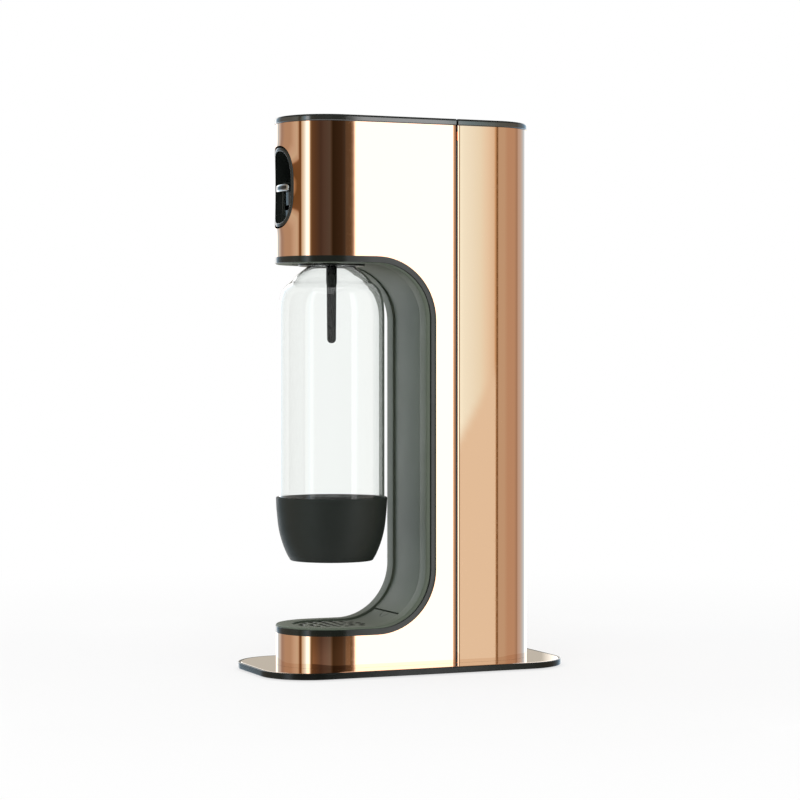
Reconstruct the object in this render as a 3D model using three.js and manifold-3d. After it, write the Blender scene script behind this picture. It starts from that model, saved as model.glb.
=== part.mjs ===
// Sparkling water maker: a tall metal housing with a C-shaped bay for the bottle, a press lever
// in an oval recess, a drip tray, and a gas cylinder behind a pull-off rear cover.
// Millimetres, +Z up, front towards -Y. The origin is at the middle of the base, on the table.

import * as THREE from 'three';
import { mergeVertices } from 'three/addons/utils/BufferGeometryUtils.js';
import Module from 'manifold-3d';

const wasm = await Module();
wasm.setup();

// Driving dimensions

const gap = 0.3; // clearance between neighbouring pieces
const overrun = 6; // how far a cutting shape runs past what it cuts
const weld = 0.0001; // vertices closer than this are one

const foot = { height: 1, radius: 8, pocket: 0.6, fromSide: 21.3, fromEnd: 26 };
const pan = { width: 128.6, length: 258, corner: 41, height: 5.2, rim: 2.2, floor: 3.7 };
const plate = { thickness: 1 };
const screw = {
  headRadius: 4, headHeight: 1.5, headSink: 0.6, radius: 1.8, holeRadius: 2.1, length: 11,
  bossRadius: 4.5, bossHeight: 6.5, frontInset: 6.7, rearInset: 9.7, rearY: 20,
};

const housing = {
  width: 82, frontReach: 105, rearReach: 109, top: 437, sheet: 1, seam: 32, seamGap: 1.8,
};
// How far these lie below the top of the housing
const below = { bay: 107, deck: 88.5, oval: 51.4, lever: 51.9, chassis: 13, regulator: 37, hook: 107 };
const bay = { top: housing.top - below.bay, column: 13, bottom: 32, corner: 50 }; // the cut in the skin
const trim = { face: 4.5, proud: 0.4, depth: 3 };
const liner = { back: 3, lip: 9.7 }; // its back inside the cut, and the panel between its lips
const lipInset = { top: 5, column: 8, bottom: 5.8, corner: 5.5 }; // of the lips inside the cut
const panelInset = { top: 4.5, column: 6.5, bottom: 5, corner: 5 }; // of the panel inside the cut
const cap = { height: 4.1, proud: 0.6, lid: 2.5, skirt: 6, skirtWall: 2 };

const chassis = { floor: 3, web: 3, webFront: 27, flange: 3, flangeFront: 17, flangeRear: 46 };
const leverWindow = { halfWidth: 10, bottomUp: 14.9, topUp: 32.9 }; // heights above the lever's tip
const deck = { bottom: housing.top - below.deck, thickness: 3 };

const tray = { rearEdge: -11.5, plate: 2.2, wall: 1.6, inset: 1, holeRadius: 2.2 };
const drain = { centreY: -60, ringShare: 0.293, rings: 3, ringCount: 6 };

const bottleY = -60;
const bottle = {
  wall: 1.6, floor: 3.2, mouthDrop: 10.5, neckHeight: 11.5, neckRadius: 15.5, neckBore: 13,
  neckFlare: 1.7, shoulderRadius: 17.4, shoulderHeight: 39.8, bodyRadius: 42.4,
};
// Shares of the way from the body's radius to the shoulder's, and of the shoulder's height
const shoulderShares = [
  [0, 0], [0.028, 0.269], [0.112, 0.465], [0.236, 0.575], [0.404, 0.661], [0.58, 0.791],
  [0.824, 0.912], [1, 1],
];
const cup = { bottom: 87, height: 52, footRadius: 33, rimRadius: 44.65, wall: 1.95, floor: 2.5 };
// Shares of the way from the foot's radius to the rim's, and of the cup's height
const cupShares = [
  [0, 0], [0.112, 0.067], [0.275, 0.137], [0.575, 0.308], [0.815, 0.523], [0.953, 0.8], [1, 1],
];
const lockRing = {
  drop: 24.9, collarHeight: 3.6, collarRadius: 26.7, mouthRadius: 20.8, bore: 16.2,
  sleeveRadius: 21, height: 13.9, coneHeight: 4.4,
};
const mixer = { skirtWall: 3.3, topDisc: 6.7, spigotRadius: 12, spigotHeight: 6.2 };
const seal = { bore: 9, height: 2.9 };
const nozzle = {
  length: 79.2, radius: 3.7, bore: 1.2, sleeveRadius: 4.35, sleeveLength: 31.2, tipRound: 2.2,
  nutRadius: 8, nutHeight: 7.2,
};
const relief = {
  x: 20, radius: 8, bore: 5.2, floor: 2.2, height: 14.2, capHeight: 3, stemRadius: 1.8,
  discHeight: 2.2, stemOut: 2, stemHole: 2.3,
};

const oval = {
  centreZ: housing.top - below.oval, halfWidth: 20.6, halfHeight: 32.4, ring: 3.1, proud: 0.6,
  depth: 3.1,
};
const recess = { sink: 12, floor: 2, wall: 2.2, slotHalfWidth: 4.8, slotDown: 19.6, slotUp: 3.9 };
const lever = {
  z: housing.top - below.lever, tipHeight: 5.6, tipHalfWidth: 14.5, tipSink: 0.4, tipDepth: 4.8,
  thickness: 5, halfWidth: 4, hubRadius: 6, kneeY: -84, riseY: -50, riseUp: 6.9, crestY: 20,
  crestUp: 25.9, pivotY: 92, pivotUp: 27.9,
};
const axle = { radius: 3 };
const bracket = { wall: 3, halfWidth: 18, rear: 98, underAxle: 9.5, overAxle: 9, roof: 2.5 };
const post = { y: -10, flangeRadius: 8, flange: 3, radius: 3.2, height: 32.2 };
const springWire = { radius: 0.8, coilRadius: 5, turns: 7 };
const reliefWire = { radius: 0.5, coilRadius: 3.4, turns: 4 };

const cylinderY = 66;
const cylinder = {
  radius: 30, standOff: 12.6, shoulderHeight: 32, neckHeight: 10, neckRadius: 12.5, wall: 3,
  bore: 8, footRound: 7,
};
const valve = {
  height: 34, stemDepth: 16, bodyRadius: 11, bodyHeight: 14, threadRadius: 10.2, pinBore: 2.5,
  pinBoreDepth: 28, pinStand: 4, pinRadius: 2, pinOut: 2.2,
};
const regulator = { halfWidth: 17, rear: 86, height: 22, roof: 5.7, socket: 10.5, passage: 3.4 };
const gasket = { bore: 3.4, height: 1.7 };
const plunger = { radius: 3, headRadius: 5, head: 3, crownRadius: 2, crown: 1 };
const cradle = { clearance: 0.6, wall: 2.8, height: 20.4, floor: 1.8, mouthHalfWidth: 20 };

const hose = { radius: 3, portX: 10, portUp: 8, headUp: 4.2 };
const fitting = { radius: 3.6, holeRadius: 4.2, frontLength: 11.7, rearFront: 14 };
// Shares of the way along X, Y and Z from the front fitting to the rear one
const hoseShares = [
  [0, 0.115, 0], [1.2, 0.318, 0.067], [1.7, 0.601, 0.4], [1.3, 0.824, 0.867], [1, 0.925, 1],
];

const hook = { thickness: 3, height: 16, front: 37, rear: 54, lowLevel: 90 };

const arcSteps = 18; // flats in a half circle of the housing
const cornerSteps = 9; // flats in a quarter of the bay's corner
const ovalSteps = 32;
const fineTurn = 32;
const mediumTurn = 20;
const coarseTurn = 12;
const drainSides = 6;
const wireSides = 5;
const stepsPerTurn = 8;
const hoseSides = 8;
const hoseSteps = 18;
const ovalPowerShare = 2.75; // 2 is an ellipse, more is squarer
const mitreShare = 0.5; // least cosine at a bar's bend

// Places that follow from the dimensions

const radius = housing.width / 2;
const frontCentre = radius - housing.frontReach;
const rearCentre = housing.rearReach - radius;
const inner = radius - housing.sheet - gap; // what stands inside the skins
const panBottom = foot.height;
const panFloor = panBottom + pan.floor;
const panTop = panBottom + pan.height;
const plateBottom = panFloor + gap;
const plateTop = plateBottom + plate.thickness;
const skinBottom = plateTop + gap;
const floorTop = skinBottom + chassis.floor;
const aboveFloor = floorTop + gap;
const webRear = chassis.webFront + chassis.web;
const behindWeb = webRear + gap;
const seamFront = housing.seam - housing.seamGap / 2;
const seamRear = housing.seam + housing.seamGap / 2;
const deckTop = deck.bottom + deck.thickness;
const onDeck = deckTop + gap;
const linerHalf = radius - trim.depth - gap;
const panelHalf = linerHalf - liner.lip;
const ringStep = panelHalf * drain.ringShare;
const chassisTop = housing.top - below.chassis;
const riseZ = lever.z + lever.riseUp;
const crestZ = lever.z + lever.crestUp;
const pivotZ = lever.z + lever.pivotUp;
const windowTop = lever.z + leverWindow.topUp;
const regulatorTop = housing.top - below.regulator;
const regulatorBottom = regulatorTop - regulator.height;
const hosePortZ = regulatorBottom + hose.portUp;
const hoseHeadZ = onDeck + hose.headUp;
const frontLimit = -(housing.frontReach + overrun);
const rearLimit = housing.rearReach + overrun;
const aboveAll = housing.top + cap.height + overrun;

// Shapes

function arc(a, b, arcRadius, from, to, steps) {
  const points = [];
  for (let step = 0; step <= steps; step += 1) {
    const angle = from + ((to - from) * step) / steps;
    points.push(new THREE.Vector2(a + arcRadius * Math.cos(angle), b + arcRadius * Math.sin(angle)));
  }
  return points;
}

function pairs(list) {
  return list.map(([a, b]) => new THREE.Vector2(a, b));
}

function circle(x, y, circleRadius, steps) {
  return arc(x, y, circleRadius, 0, 2 * Math.PI, steps).slice(0, steps);
}

function rectangle(lowA, highA, lowB, highB) {
  return pairs([[lowA, lowB], [highA, lowB], [highA, highB], [lowA, highB]]);
}

function roundedRectangle(halfA, halfB, corner) {
  const a = halfA - corner;
  const b = halfB - corner;
  const quarter = Math.PI / 2;
  return [
    ...arc(a, b, corner, 0, quarter, cornerSteps),
    ...arc(-a, b, corner, quarter, 2 * quarter, cornerSteps),
    ...arc(-a, -b, corner, 2 * quarter, 3 * quarter, cornerSteps),
    ...arc(a, -b, corner, 3 * quarter, 4 * quarter, cornerSteps),
  ];
}

// Plan of the housing: two half circles joined by straight sides
function stadium(outRadius) {
  return [
    ...arc(0, frontCentre, outRadius, Math.PI, 2 * Math.PI, arcSteps),
    ...arc(0, rearCentre, outRadius, 0, Math.PI, arcSteps),
  ];
}

// Plan of the drip tray: round in front, square at the rear
function trayPlan(halfWidth, rearEdge) {
  return [
    new THREE.Vector2(-halfWidth, rearEdge),
    ...arc(0, frontCentre, halfWidth, Math.PI, 2 * Math.PI, arcSteps),
    new THREE.Vector2(halfWidth, rearEdge),
  ];
}

// Side view of the bay, open to the front, as points of Y and Z
function bayOutline({ top, column, bottom, corner }) {
  const quarter = Math.PI / 2;
  return [
    new THREE.Vector2(frontLimit, bottom),
    ...arc(column - corner, bottom + corner, corner, -quarter, 0, cornerSteps),
    ...arc(column - corner, top - corner, corner, 0, quarter, cornerSteps),
    new THREE.Vector2(frontLimit, top),
  ];
}

function insetShape(inset) {
  return {
    top: bay.top - inset.top,
    column: bay.column - inset.column,
    bottom: bay.bottom + inset.bottom,
    corner: bay.corner - inset.corner,
  };
}

function bayInset(amount, shape = bay) {
  return bayOutline({
    top: shape.top - amount,
    column: shape.column - amount,
    bottom: shape.bottom + amount,
    corner: shape.corner - amount,
  });
}

const lipShape = insetShape(lipInset);
const panelShape = insetShape(panelInset);

// Front view of the lever's oval, as points of X and Z
function ovalOutline(grow) {
  const points = [];
  const bend = (value) => Math.sign(value) * Math.abs(value) ** (2 / ovalPowerShare);
  for (let step = 0; step < ovalSteps; step += 1) {
    const angle = (2 * Math.PI * step) / ovalSteps;
    const x = (oval.halfWidth + grow) * bend(Math.cos(angle));
    const z = (oval.halfHeight + grow) * bend(Math.sin(angle));
    points.push(new THREE.Vector2(x, oval.centreZ + z));
  }
  return points;
}

// A bent bar's side view: a line of points thickened to both sides
function barOutline(line, thickness) {
  const half = thickness / 2;
  const sides = [1, -1].map((side) => line.map((point, index) => {
    const before = line[Math.max(index - 1, 0)];
    const after = line[Math.min(index + 1, line.length - 1)];
    const into = point.clone().sub(before).normalize();
    const out = after.clone().sub(point).normalize();
    const along = into.clone().add(out).normalize();
    const reach = half / Math.max(along.dot(index > 0 ? into : out), mitreShare);
    return new THREE.Vector2(point.x - side * along.y * reach, point.y + side * along.x * reach);
  }));
  return [...sides[0], ...sides[1].reverse()];
}

function upright(outline, low, high) {
  const geometry = new THREE.ExtrudeGeometry(new THREE.Shape(outline), {
    depth: high - low, steps: 1, bevelEnabled: false,
  });
  return geometry.translate(0, 0, low);
}

// An outline of Y and Z carried along X
function crosswise(outline, low, high) {
  const axes = new THREE.Matrix4().makeBasis(
    new THREE.Vector3(0, 1, 0), new THREE.Vector3(0, 0, 1), new THREE.Vector3(1, 0, 0),
  );
  return upright(outline, 0, high - low).applyMatrix4(axes).translate(low, 0, 0);
}

// An outline of X and Z carried along Y
function lengthwise(outline, low, high) {
  const axes = new THREE.Matrix4().makeBasis(
    new THREE.Vector3(1, 0, 0), new THREE.Vector3(0, 0, 1), new THREE.Vector3(0, -1, 0),
  );
  return upright(outline, 0, high - low).applyMatrix4(axes).translate(0, high, 0);
}

function block(lowX, highX, lowY, highY, lowZ, highZ) {
  const geometry = new THREE.BoxGeometry(highX - lowX, highY - lowY, highZ - lowZ);
  return geometry.translate((lowX + highX) / 2, (lowY + highY) / 2, (lowZ + highZ) / 2);
}

// A block on the right side, or its mirror image on the left
function sideBlock(side, nearX, farX, lowY, highY, lowZ, highZ) {
  const [low, high] = side > 0 ? [nearX, farX] : [-farX, -nearX];
  return block(low, high, lowY, highY, lowZ, highZ);
}

// A profile of radius and height turned about the Z axis; it closes on the axis or on itself
function turned(profile, steps) {
  const points = pairs(profile);
  const closed = profile[0][0] > 0 || profile[profile.length - 1][0] > 0;
  if (closed) points.push(points[0].clone());
  return new THREE.LatheGeometry(points, steps).rotateX(Math.PI / 2);
}

function ring(bore, outside, low, high, steps) {
  return turned([[bore, low], [outside, low], [outside, high], [bore, high]], steps);
}

function rod(rodRadius, low, high, steps) {
  return turned([[0, low], [rodRadius, low], [rodRadius, high], [0, high]], steps);
}

function tube(path, tubeRadius, sides, steps) {
  const section = new THREE.Shape(circle(0, 0, tubeRadius, sides));
  return new THREE.ExtrudeGeometry(section, { steps, extrudePath: path, bevelEnabled: false });
}

class CoilPath extends THREE.Curve {
  constructor(coilRadius, low, high, turns) {
    super();
    this.coilRadius = coilRadius;
    this.low = low;
    this.high = high;
    this.turns = turns;
  }

  getPoint(share) {
    const angle = 2 * Math.PI * this.turns * share;
    return new THREE.Vector3(
      this.coilRadius * Math.cos(angle),
      this.coilRadius * Math.sin(angle),
      this.low + (this.high - this.low) * share,
    );
  }
}

function coil(wire, low, high) {
  const path = new CoilPath(wire.coilRadius, low + wire.radius, high - wire.radius, wire.turns);
  return tube(path, wire.radius, wireSides, wire.turns * stepsPerTurn);
}

// Solids

function signedVolume(places, corners) {
  const at = (index) => new THREE.Vector3().fromArray(places, index * 3);
  let total = 0;
  for (let index = 0; index < corners.length; index += 3) {
    const cross = at(corners[index + 1]).cross(at(corners[index + 2]));
    total += at(corners[index]).dot(cross);
  }
  return total;
}

function toSolid(shape) {
  if (!shape.isBufferGeometry) return shape;
  const bare = shape.clone();
  bare.deleteAttribute('normal');
  bare.deleteAttribute('uv');
  const merged = mergeVertices(bare, weld);
  const places = merged.attributes.position.array;
  const all = merged.index.array;
  const corners = [];
  for (let index = 0; index < all.length; index += 3) {
    const [a, b, c] = [all[index], all[index + 1], all[index + 2]];
    if (a !== b && b !== c && c !== a) corners.push(a, b, c);
  }
  const inward = signedVolume(places, corners) < 0;
  const triVerts = new Uint32Array(inward ? corners.reverse() : corners);
  return new wasm.Manifold(new wasm.Mesh({ numProp: 3, vertProperties: places, triVerts }));
}

function toGeometry(solid) {
  const mesh = solid.getMesh();
  const geometry = new THREE.BufferGeometry();
  geometry.setAttribute('position', new THREE.BufferAttribute(new Float32Array(mesh.vertProperties), 3));
  geometry.setIndex(new THREE.BufferAttribute(new Uint32Array(mesh.triVerts), 1));
  geometry.computeVertexNormals();
  return geometry;
}

function join(first, ...others) {
  return others.reduce((whole, shape) => whole.add(toSolid(shape)), toSolid(first));
}

function cut(first, ...others) {
  return others.reduce((whole, shape) => whole.subtract(toSolid(shape)), toSolid(first));
}

function common(first, ...others) {
  return others.reduce((whole, shape) => whole.intersect(toSolid(shape)), toSolid(first));
}

// Finishes

function finish(color, roughness, metalness) {
  return () => new THREE.MeshStandardMaterial({ color, roughness, metalness });
}

const copper = finish(0xc98f6c, 0.18, 1);
const darkPlastic = finish(0x22241f, 0.45, 0);
const glossPlastic = finish(0x111312, 0.12, 0);
const greyPlastic = finish(0x6f7872, 0.4, 0);
const chrome = finish(0xd8dad9, 0.08, 1);
const steel = finish(0x9ea1a3, 0.35, 1);
const brass = finish(0xb9974e, 0.3, 1);
const rubber = finish(0x191919, 0.85, 0);
const softPlastic = finish(0x2c302c, 0.55, 0);
const clear = finish(0xe6eeec, 0.05, 0);
const silver = finish(0xb9bdbf, 0.4, 1);

const machine = new THREE.Group();

function addPiece(parent, name, shape, makeFinish) {
  const mesh = new THREE.Mesh(toGeometry(toSolid(shape)), makeFinish());
  mesh.name = name;
  parent.add(mesh);
  return mesh;
}

function addGroup(x, y, z) {
  const group = new THREE.Group();
  group.position.set(x, y, z);
  machine.add(group);
  return group;
}

// Base: pan, copper plate, rubber feet and the screws that hold the housing down

const frontScrewX = inner - screw.frontInset;
const rearScrewX = inner - screw.rearInset;
const screwPlaces = [
  ['front_left', -frontScrewX, frontCentre],
  ['front_right', frontScrewX, frontCentre],
  ['rear_left', -rearScrewX, screw.rearY],
  ['rear_right', rearScrewX, screw.rearY],
];
const footX = pan.width / 2 - foot.fromSide;
const footY = pan.length / 2 - foot.fromEnd;
const footPlaces = [
  ['front_left', -footX, -footY],
  ['front_right', footX, -footY],
  ['rear_left', -footX, footY],
  ['rear_right', footX, footY],
];
const screwHeadTop = panBottom + screw.headSink + screw.headHeight;

function screwHoles(holeRadius, low, high) {
  return screwPlaces.map(([, x, y]) => upright(circle(x, y, holeRadius, coarseTurn), low, high));
}

function basePan() {
  const halfX = pan.width / 2;
  const halfY = pan.length / 2;
  const outside = upright(roundedRectangle(halfX, halfY, pan.corner), panBottom, panTop);
  const hollow = upright(
    roundedRectangle(halfX - pan.rim, halfY - pan.rim, pan.corner - pan.rim), panFloor, panTop + overrun,
  );
  const pockets = footPlaces.map(([, x, y]) => upright(
    circle(x, y, foot.radius + gap, mediumTurn), panBottom - overrun, panBottom + foot.pocket,
  ));
  return cut(
    outside, hollow, ...pockets,
    ...screwHoles(screw.headRadius + gap, panBottom - overrun, screwHeadTop + gap),
    ...screwHoles(screw.holeRadius, panBottom - overrun, panTop + overrun),
  );
}

function basePlate() {
  const edge = pan.rim + gap;
  const outline = roundedRectangle(pan.width / 2 - edge, pan.length / 2 - edge, pan.corner - edge);
  return cut(
    upright(outline, plateBottom, plateTop),
    ...screwHoles(screw.holeRadius, plateBottom - overrun, plateTop + overrun),
  );
}

addPiece(machine, 'base_pan', basePan(), darkPlastic);
addPiece(machine, 'base_plate', basePlate(), copper);
footPlaces.forEach(([place, x, y]) => {
  const top = panBottom + foot.pocket - gap;
  addPiece(addGroup(x, y, 0), `foot_pad_${place}`, rod(foot.radius, 0, top, mediumTurn), rubber);
});
screwPlaces.forEach(([place, x, y]) => {
  const headBottom = panBottom + screw.headSink;
  const shape = turned([
    [0, headBottom], [screw.headRadius, headBottom], [screw.headRadius, screwHeadTop],
    [screw.radius, screwHeadTop], [screw.radius, screwHeadTop + screw.length],
    [0, screwHeadTop + screw.length],
  ], coarseTurn);
  addPiece(addGroup(x, y, 0), `base_screw_${place}`, shape, steel);
});

// Housing: front skin, rear cover skin, their caps, the edging of the bay and its liner

function skinRing(outside, inside, low, high) {
  return cut(
    upright(stadium(outside), low, high),
    upright(stadium(inside), low - overrun, high + overrun),
  );
}

function frontOf(y) {
  return block(-radius - overrun, radius + overrun, frontLimit, y, -overrun, aboveAll);
}

function rearOf(y) {
  return block(-radius - overrun, radius + overrun, y, rearLimit, -overrun, aboveAll);
}

function acrossBay(outline, halfWidth = radius + overrun) {
  return crosswise(outline, -halfWidth, halfWidth);
}

function bodyShell() {
  const whole = skinRing(radius, radius - housing.sheet, skinBottom, housing.top);
  const ovalHole = lengthwise(ovalOutline(gap), frontLimit, frontCentre);
  return cut(common(whole, frontOf(seamFront)), acrossBay(bayOutline(bay)), ovalHole);
}

function rearShell() {
  const whole = skinRing(radius, radius - housing.sheet, skinBottom, housing.top);
  return common(whole, rearOf(seamRear));
}

function capPiece(side) {
  const bottom = housing.top + gap;
  const lid = upright(stadium(radius + cap.proud), bottom, bottom + cap.height);
  const hollow = upright(stadium(inner - cap.skirtWall), bottom - overrun, bottom + cap.height - cap.lid);
  const skirt = skinRing(inner, inner - cap.skirtWall, bottom - cap.skirt, bottom);
  return common(join(cut(lid, hollow), skirt), side);
}

function edgeTrim() {
  const band = skinRing(radius + trim.proud, radius - trim.depth, bay.bottom - overrun, bay.top + overrun);
  return cut(common(band, acrossBay(bayInset(gap))), acrossBay(bayInset(trim.face)));
}

function innerLiner() {
  const plan = upright(stadium(linerHalf), bay.bottom, bay.top);
  const solid = common(acrossBay(bayInset(liner.back)), plan);
  const headHole = upright(
    circle(0, bottleY, lockRing.collarRadius + gap, fineTurn), lipShape.top - overrun, bay.top + overrun,
  );
  const trayHole = upright(
    trayPlan(panelHalf, tray.rearEdge), bay.bottom - overrun, bay.bottom + bay.corner,
  );
  return cut(
    solid,
    acrossBay(bayOutline(lipShape)),
    acrossBay(bayOutline(panelShape), panelHalf),
    headHole,
    trayHole,
  );
}

addPiece(machine, 'body_shell', bodyShell(), copper);
addPiece(machine, 'rear_shell', rearShell(), copper);
addPiece(machine, 'top_cap', capPiece(frontOf(seamFront)), darkPlastic);
addPiece(machine, 'rear_cap', capPiece(rearOf(seamRear)), darkPlastic);
addPiece(machine, 'edge_trim', edgeTrim(), glossPlastic);
addPiece(machine, 'inner_liner', innerLiner(), greyPlastic);

// Chassis: floor, upright spine with side flanges behind the seam, and the deck in the head

function chassisFloor() {
  const slab = upright(stadium(inner), skinBottom, floorTop);
  const bosses = screwPlaces.map(([, x, y]) => upright(
    circle(x, y, screw.bossRadius, coarseTurn), skinBottom, floorTop + screw.bossHeight,
  ));
  return cut(join(slab, ...bosses), ...screwHoles(screw.holeRadius, skinBottom - overrun, aboveAll));
}

function chassisSpine() {
  const web = block(-inner, inner, chassis.webFront, webRear, aboveFloor, chassisTop);
  const flanges = [-1, 1].map((side) => sideBlock(
    side, inner - chassis.flange, inner, chassis.flangeFront, chassis.flangeRear, aboveFloor, chassisTop,
  ));
  const window = lengthwise(
    rectangle(-leverWindow.halfWidth, leverWindow.halfWidth, lever.z + leverWindow.bottomUp, windowTop),
    chassis.webFront - overrun, webRear + overrun,
  );
  const hoseHole = lengthwise(
    circle(hose.portX, hosePortZ, fitting.holeRadius, coarseTurn),
    chassis.webFront - overrun, webRear + overrun,
  );
  return cut(join(web, ...flanges), window, hoseHole);
}

function headDeck() {
  const slab = common(
    upright(stadium(inner), deck.bottom, deckTop),
    frontOf(chassis.webFront - gap),
  );
  const notches = [-1, 1].map((side) => sideBlock(
    side, inner - chassis.flange - gap, inner + overrun, chassis.flangeFront - gap, chassis.webFront,
    deck.bottom - overrun, deckTop + overrun,
  ));
  const spigotHole = upright(
    circle(0, bottleY, mixer.spigotRadius + gap, mediumTurn), deck.bottom - overrun, deckTop + overrun,
  );
  return cut(slab, ...notches, spigotHole);
}

addPiece(machine, 'chassis_floor', chassisFloor(), darkPlastic);
addPiece(machine, 'chassis_spine', chassisSpine(), darkPlastic);
addPiece(machine, 'head_deck', headDeck(), darkPlastic);

// Hooks inside the rear cover that grip behind the spine's flanges

function coverHook(side, level) {
  const tongueOut = inner - chassis.flange - gap;
  const tongueIn = tongueOut - hook.thickness;
  const top = level + hook.height;
  const root = sideBlock(side, tongueIn, inner, chassis.flangeRear + gap, hook.rear, level, top);
  return join(root, sideBlock(side, tongueIn, tongueOut, hook.front, hook.rear, level, top));
}

[['left', -1], ['right', 1]].forEach(([name, side]) => {
  addPiece(machine, `cover_hook_${name}_low`, coverHook(side, hook.lowLevel), darkPlastic);
  addPiece(machine, `cover_hook_${name}_high`, coverHook(side, housing.top - below.hook), darkPlastic);
});

// Drip tray: a basin under a perforated plate that follows the bay's lower corner

function dripBasin() {
  const half = panelHalf - tray.inset;
  const rear = tray.rearEdge - tray.inset;
  const top = panelShape.bottom - tray.plate - gap;
  return cut(
    upright(trayPlan(half, rear), aboveFloor, top),
    upright(trayPlan(half - tray.wall, rear - tray.wall), aboveFloor + tray.wall, top + overrun),
  );
}

function dripGrille() {
  const plan = upright(
    trayPlan(panelHalf - gap, tray.rearEdge - gap), bay.bottom - overrun, bay.bottom + bay.corner,
  );
  const under = acrossBay(bayInset(-tray.plate, panelShape));
  const holes = [upright(circle(0, drain.centreY, tray.holeRadius, drainSides), 0, bay.bottom + bay.corner)];
  for (let level = 1; level <= drain.rings; level += 1) {
    const count = drain.ringCount * level;
    for (let index = 0; index < count; index += 1) {
      const angle = (2 * Math.PI * index) / count;
      const x = ringStep * level * Math.cos(angle);
      const y = drain.centreY + ringStep * level * Math.sin(angle);
      holes.push(upright(circle(x, y, tray.holeRadius, drainSides), 0, bay.bottom + bay.corner));
    }
  }
  return cut(common(under, plan), acrossBay(bayOutline(panelShape)), ...holes);
}

addPiece(machine, 'drip_basin', dripBasin(), darkPlastic);
addPiece(machine, 'drip_grille', dripGrille(), greyPlastic);

// Press lever: oval ring and recess in the front, bent arm on a rear axle, return spring

function leverBezel() {
  const outer = lengthwise(ovalOutline(0), frontLimit, frontCentre);
  const opening = lengthwise(ovalOutline(-oval.ring), frontLimit - overrun, frontCentre + overrun);
  const band = skinRing(radius + oval.proud, radius + oval.proud - oval.depth, deck.bottom, housing.top);
  return cut(common(outer, band), opening);
}

const recessFloorY = recess.sink - housing.frontReach;

function leverRecess() {
  const behind = radius + oval.proud - oval.depth - gap;
  const outer = lengthwise(ovalOutline(recess.wall - oval.ring), frontLimit, recessFloorY + recess.floor);
  const hollow = lengthwise(ovalOutline(-oval.ring), frontLimit - overrun, recessFloorY);
  const slot = block(
    -recess.slotHalfWidth, recess.slotHalfWidth, frontLimit, frontCentre,
    oval.centreZ - recess.slotDown, oval.centreZ + recess.slotUp,
  );
  const plan = upright(circle(0, frontCentre, behind, 2 * arcSteps), deck.bottom, housing.top);
  return cut(common(outer, plan), hollow, slot);
}

const tipFront = radius - lever.tipSink;
const tipBack = tipFront - lever.tipDepth;

function leverTip() {
  const low = lever.z - lever.tipHeight / 2;
  const band = skinRing(tipFront, tipBack, low, low + lever.tipHeight);
  const half = lever.tipHalfWidth;
  return common(band, block(-half, half, frontLimit, frontCentre, low - overrun, aboveAll));
}

const armFront = frontCentre - Math.sqrt(tipBack ** 2 - lever.halfWidth ** 2) + 2 * gap;

function leverArm() {
  const line = pairs([
    [armFront, lever.z],
    [lever.kneeY, lever.z],
    [lever.riseY, riseZ],
    [lever.crestY, crestZ],
    [lever.pivotY, pivotZ],
  ]);
  const bar = crosswise(barOutline(line, lever.thickness), -lever.halfWidth, lever.halfWidth);
  const hubHalf = bracket.halfWidth - bracket.wall - gap;
  const hub = crosswise(circle(lever.pivotY, pivotZ, lever.hubRadius, mediumTurn), -hubHalf, hubHalf);
  const bore = crosswise(
    circle(lever.pivotY, pivotZ, axle.radius + gap, coarseTurn), -hubHalf - overrun, hubHalf + overrun,
  );
  return cut(join(bar, hub), bore);
}

function leverBracket() {
  const inside = bracket.halfWidth - bracket.wall;
  const bottom = pivotZ - bracket.underAxle;
  const top = pivotZ + bracket.overAxle;
  const whole = block(-bracket.halfWidth, bracket.halfWidth, behindWeb, bracket.rear, bottom, top);
  const channel = block(
    -inside, inside, behindWeb + bracket.wall, bracket.rear + overrun, bottom - overrun,
    top - bracket.roof,
  );
  const window = block(
    -leverWindow.halfWidth, leverWindow.halfWidth, behindWeb - overrun, bracket.rear,
    bottom - overrun, windowTop,
  );
  const hole = crosswise(
    circle(lever.pivotY, pivotZ, axle.radius + gap, coarseTurn),
    -bracket.halfWidth - overrun, bracket.halfWidth + overrun,
  );
  return cut(whole, channel, window, hole);
}

addPiece(machine, 'lever_bezel', leverBezel(), greyPlastic);
addPiece(machine, 'lever_recess', leverRecess(), glossPlastic);
addPiece(machine, 'lever_tip', leverTip(), chrome);
addPiece(machine, 'lever_arm', leverArm(), steel);
addPiece(machine, 'lever_bracket', leverBracket(), darkPlastic);
addPiece(
  machine, 'lever_axle',
  crosswise(circle(lever.pivotY, pivotZ, axle.radius, coarseTurn), -bracket.halfWidth, bracket.halfWidth),
  steel,
);
const postGroup = addGroup(0, post.y, 0);
addPiece(postGroup, 'spring_post', turned([
  [0, onDeck], [post.flangeRadius, onDeck], [post.flangeRadius, onDeck + post.flange],
  [post.radius, onDeck + post.flange], [post.radius, onDeck + post.height], [0, onDeck + post.height],
], coarseTurn), darkPlastic);

// The spring ends under the rising part of the arm
const riseSlope = (crestZ - riseZ) / (lever.crestY - lever.riseY);
const coilFront = post.y - springWire.coilRadius - springWire.radius;
const armOverSpring = riseZ + riseSlope * (coilFront - lever.riseY);
const springTop = armOverSpring - (lever.thickness / 2) * Math.hypot(1, riseSlope) - gap;
addPiece(postGroup, 'return_spring', coil(springWire, onDeck + post.flange + gap, springTop), steel);

// Mixing head over the bottle: body, seal, nozzle with its nut, lock ring and relief valve

const bottleGroup = addGroup(0, bottleY, 0);
const mixerTop = deck.bottom - gap;
const discBottom = mixerTop - mixer.topDisc;
const skirtBore = lockRing.sleeveRadius + gap + gap / 2;
const ringBottom = deck.bottom - lockRing.drop;
const ringTop = ringBottom + lockRing.height;
const collarTop = ringBottom + lockRing.collarHeight;
const spigotTop = onDeck + mixer.spigotHeight;

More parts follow.
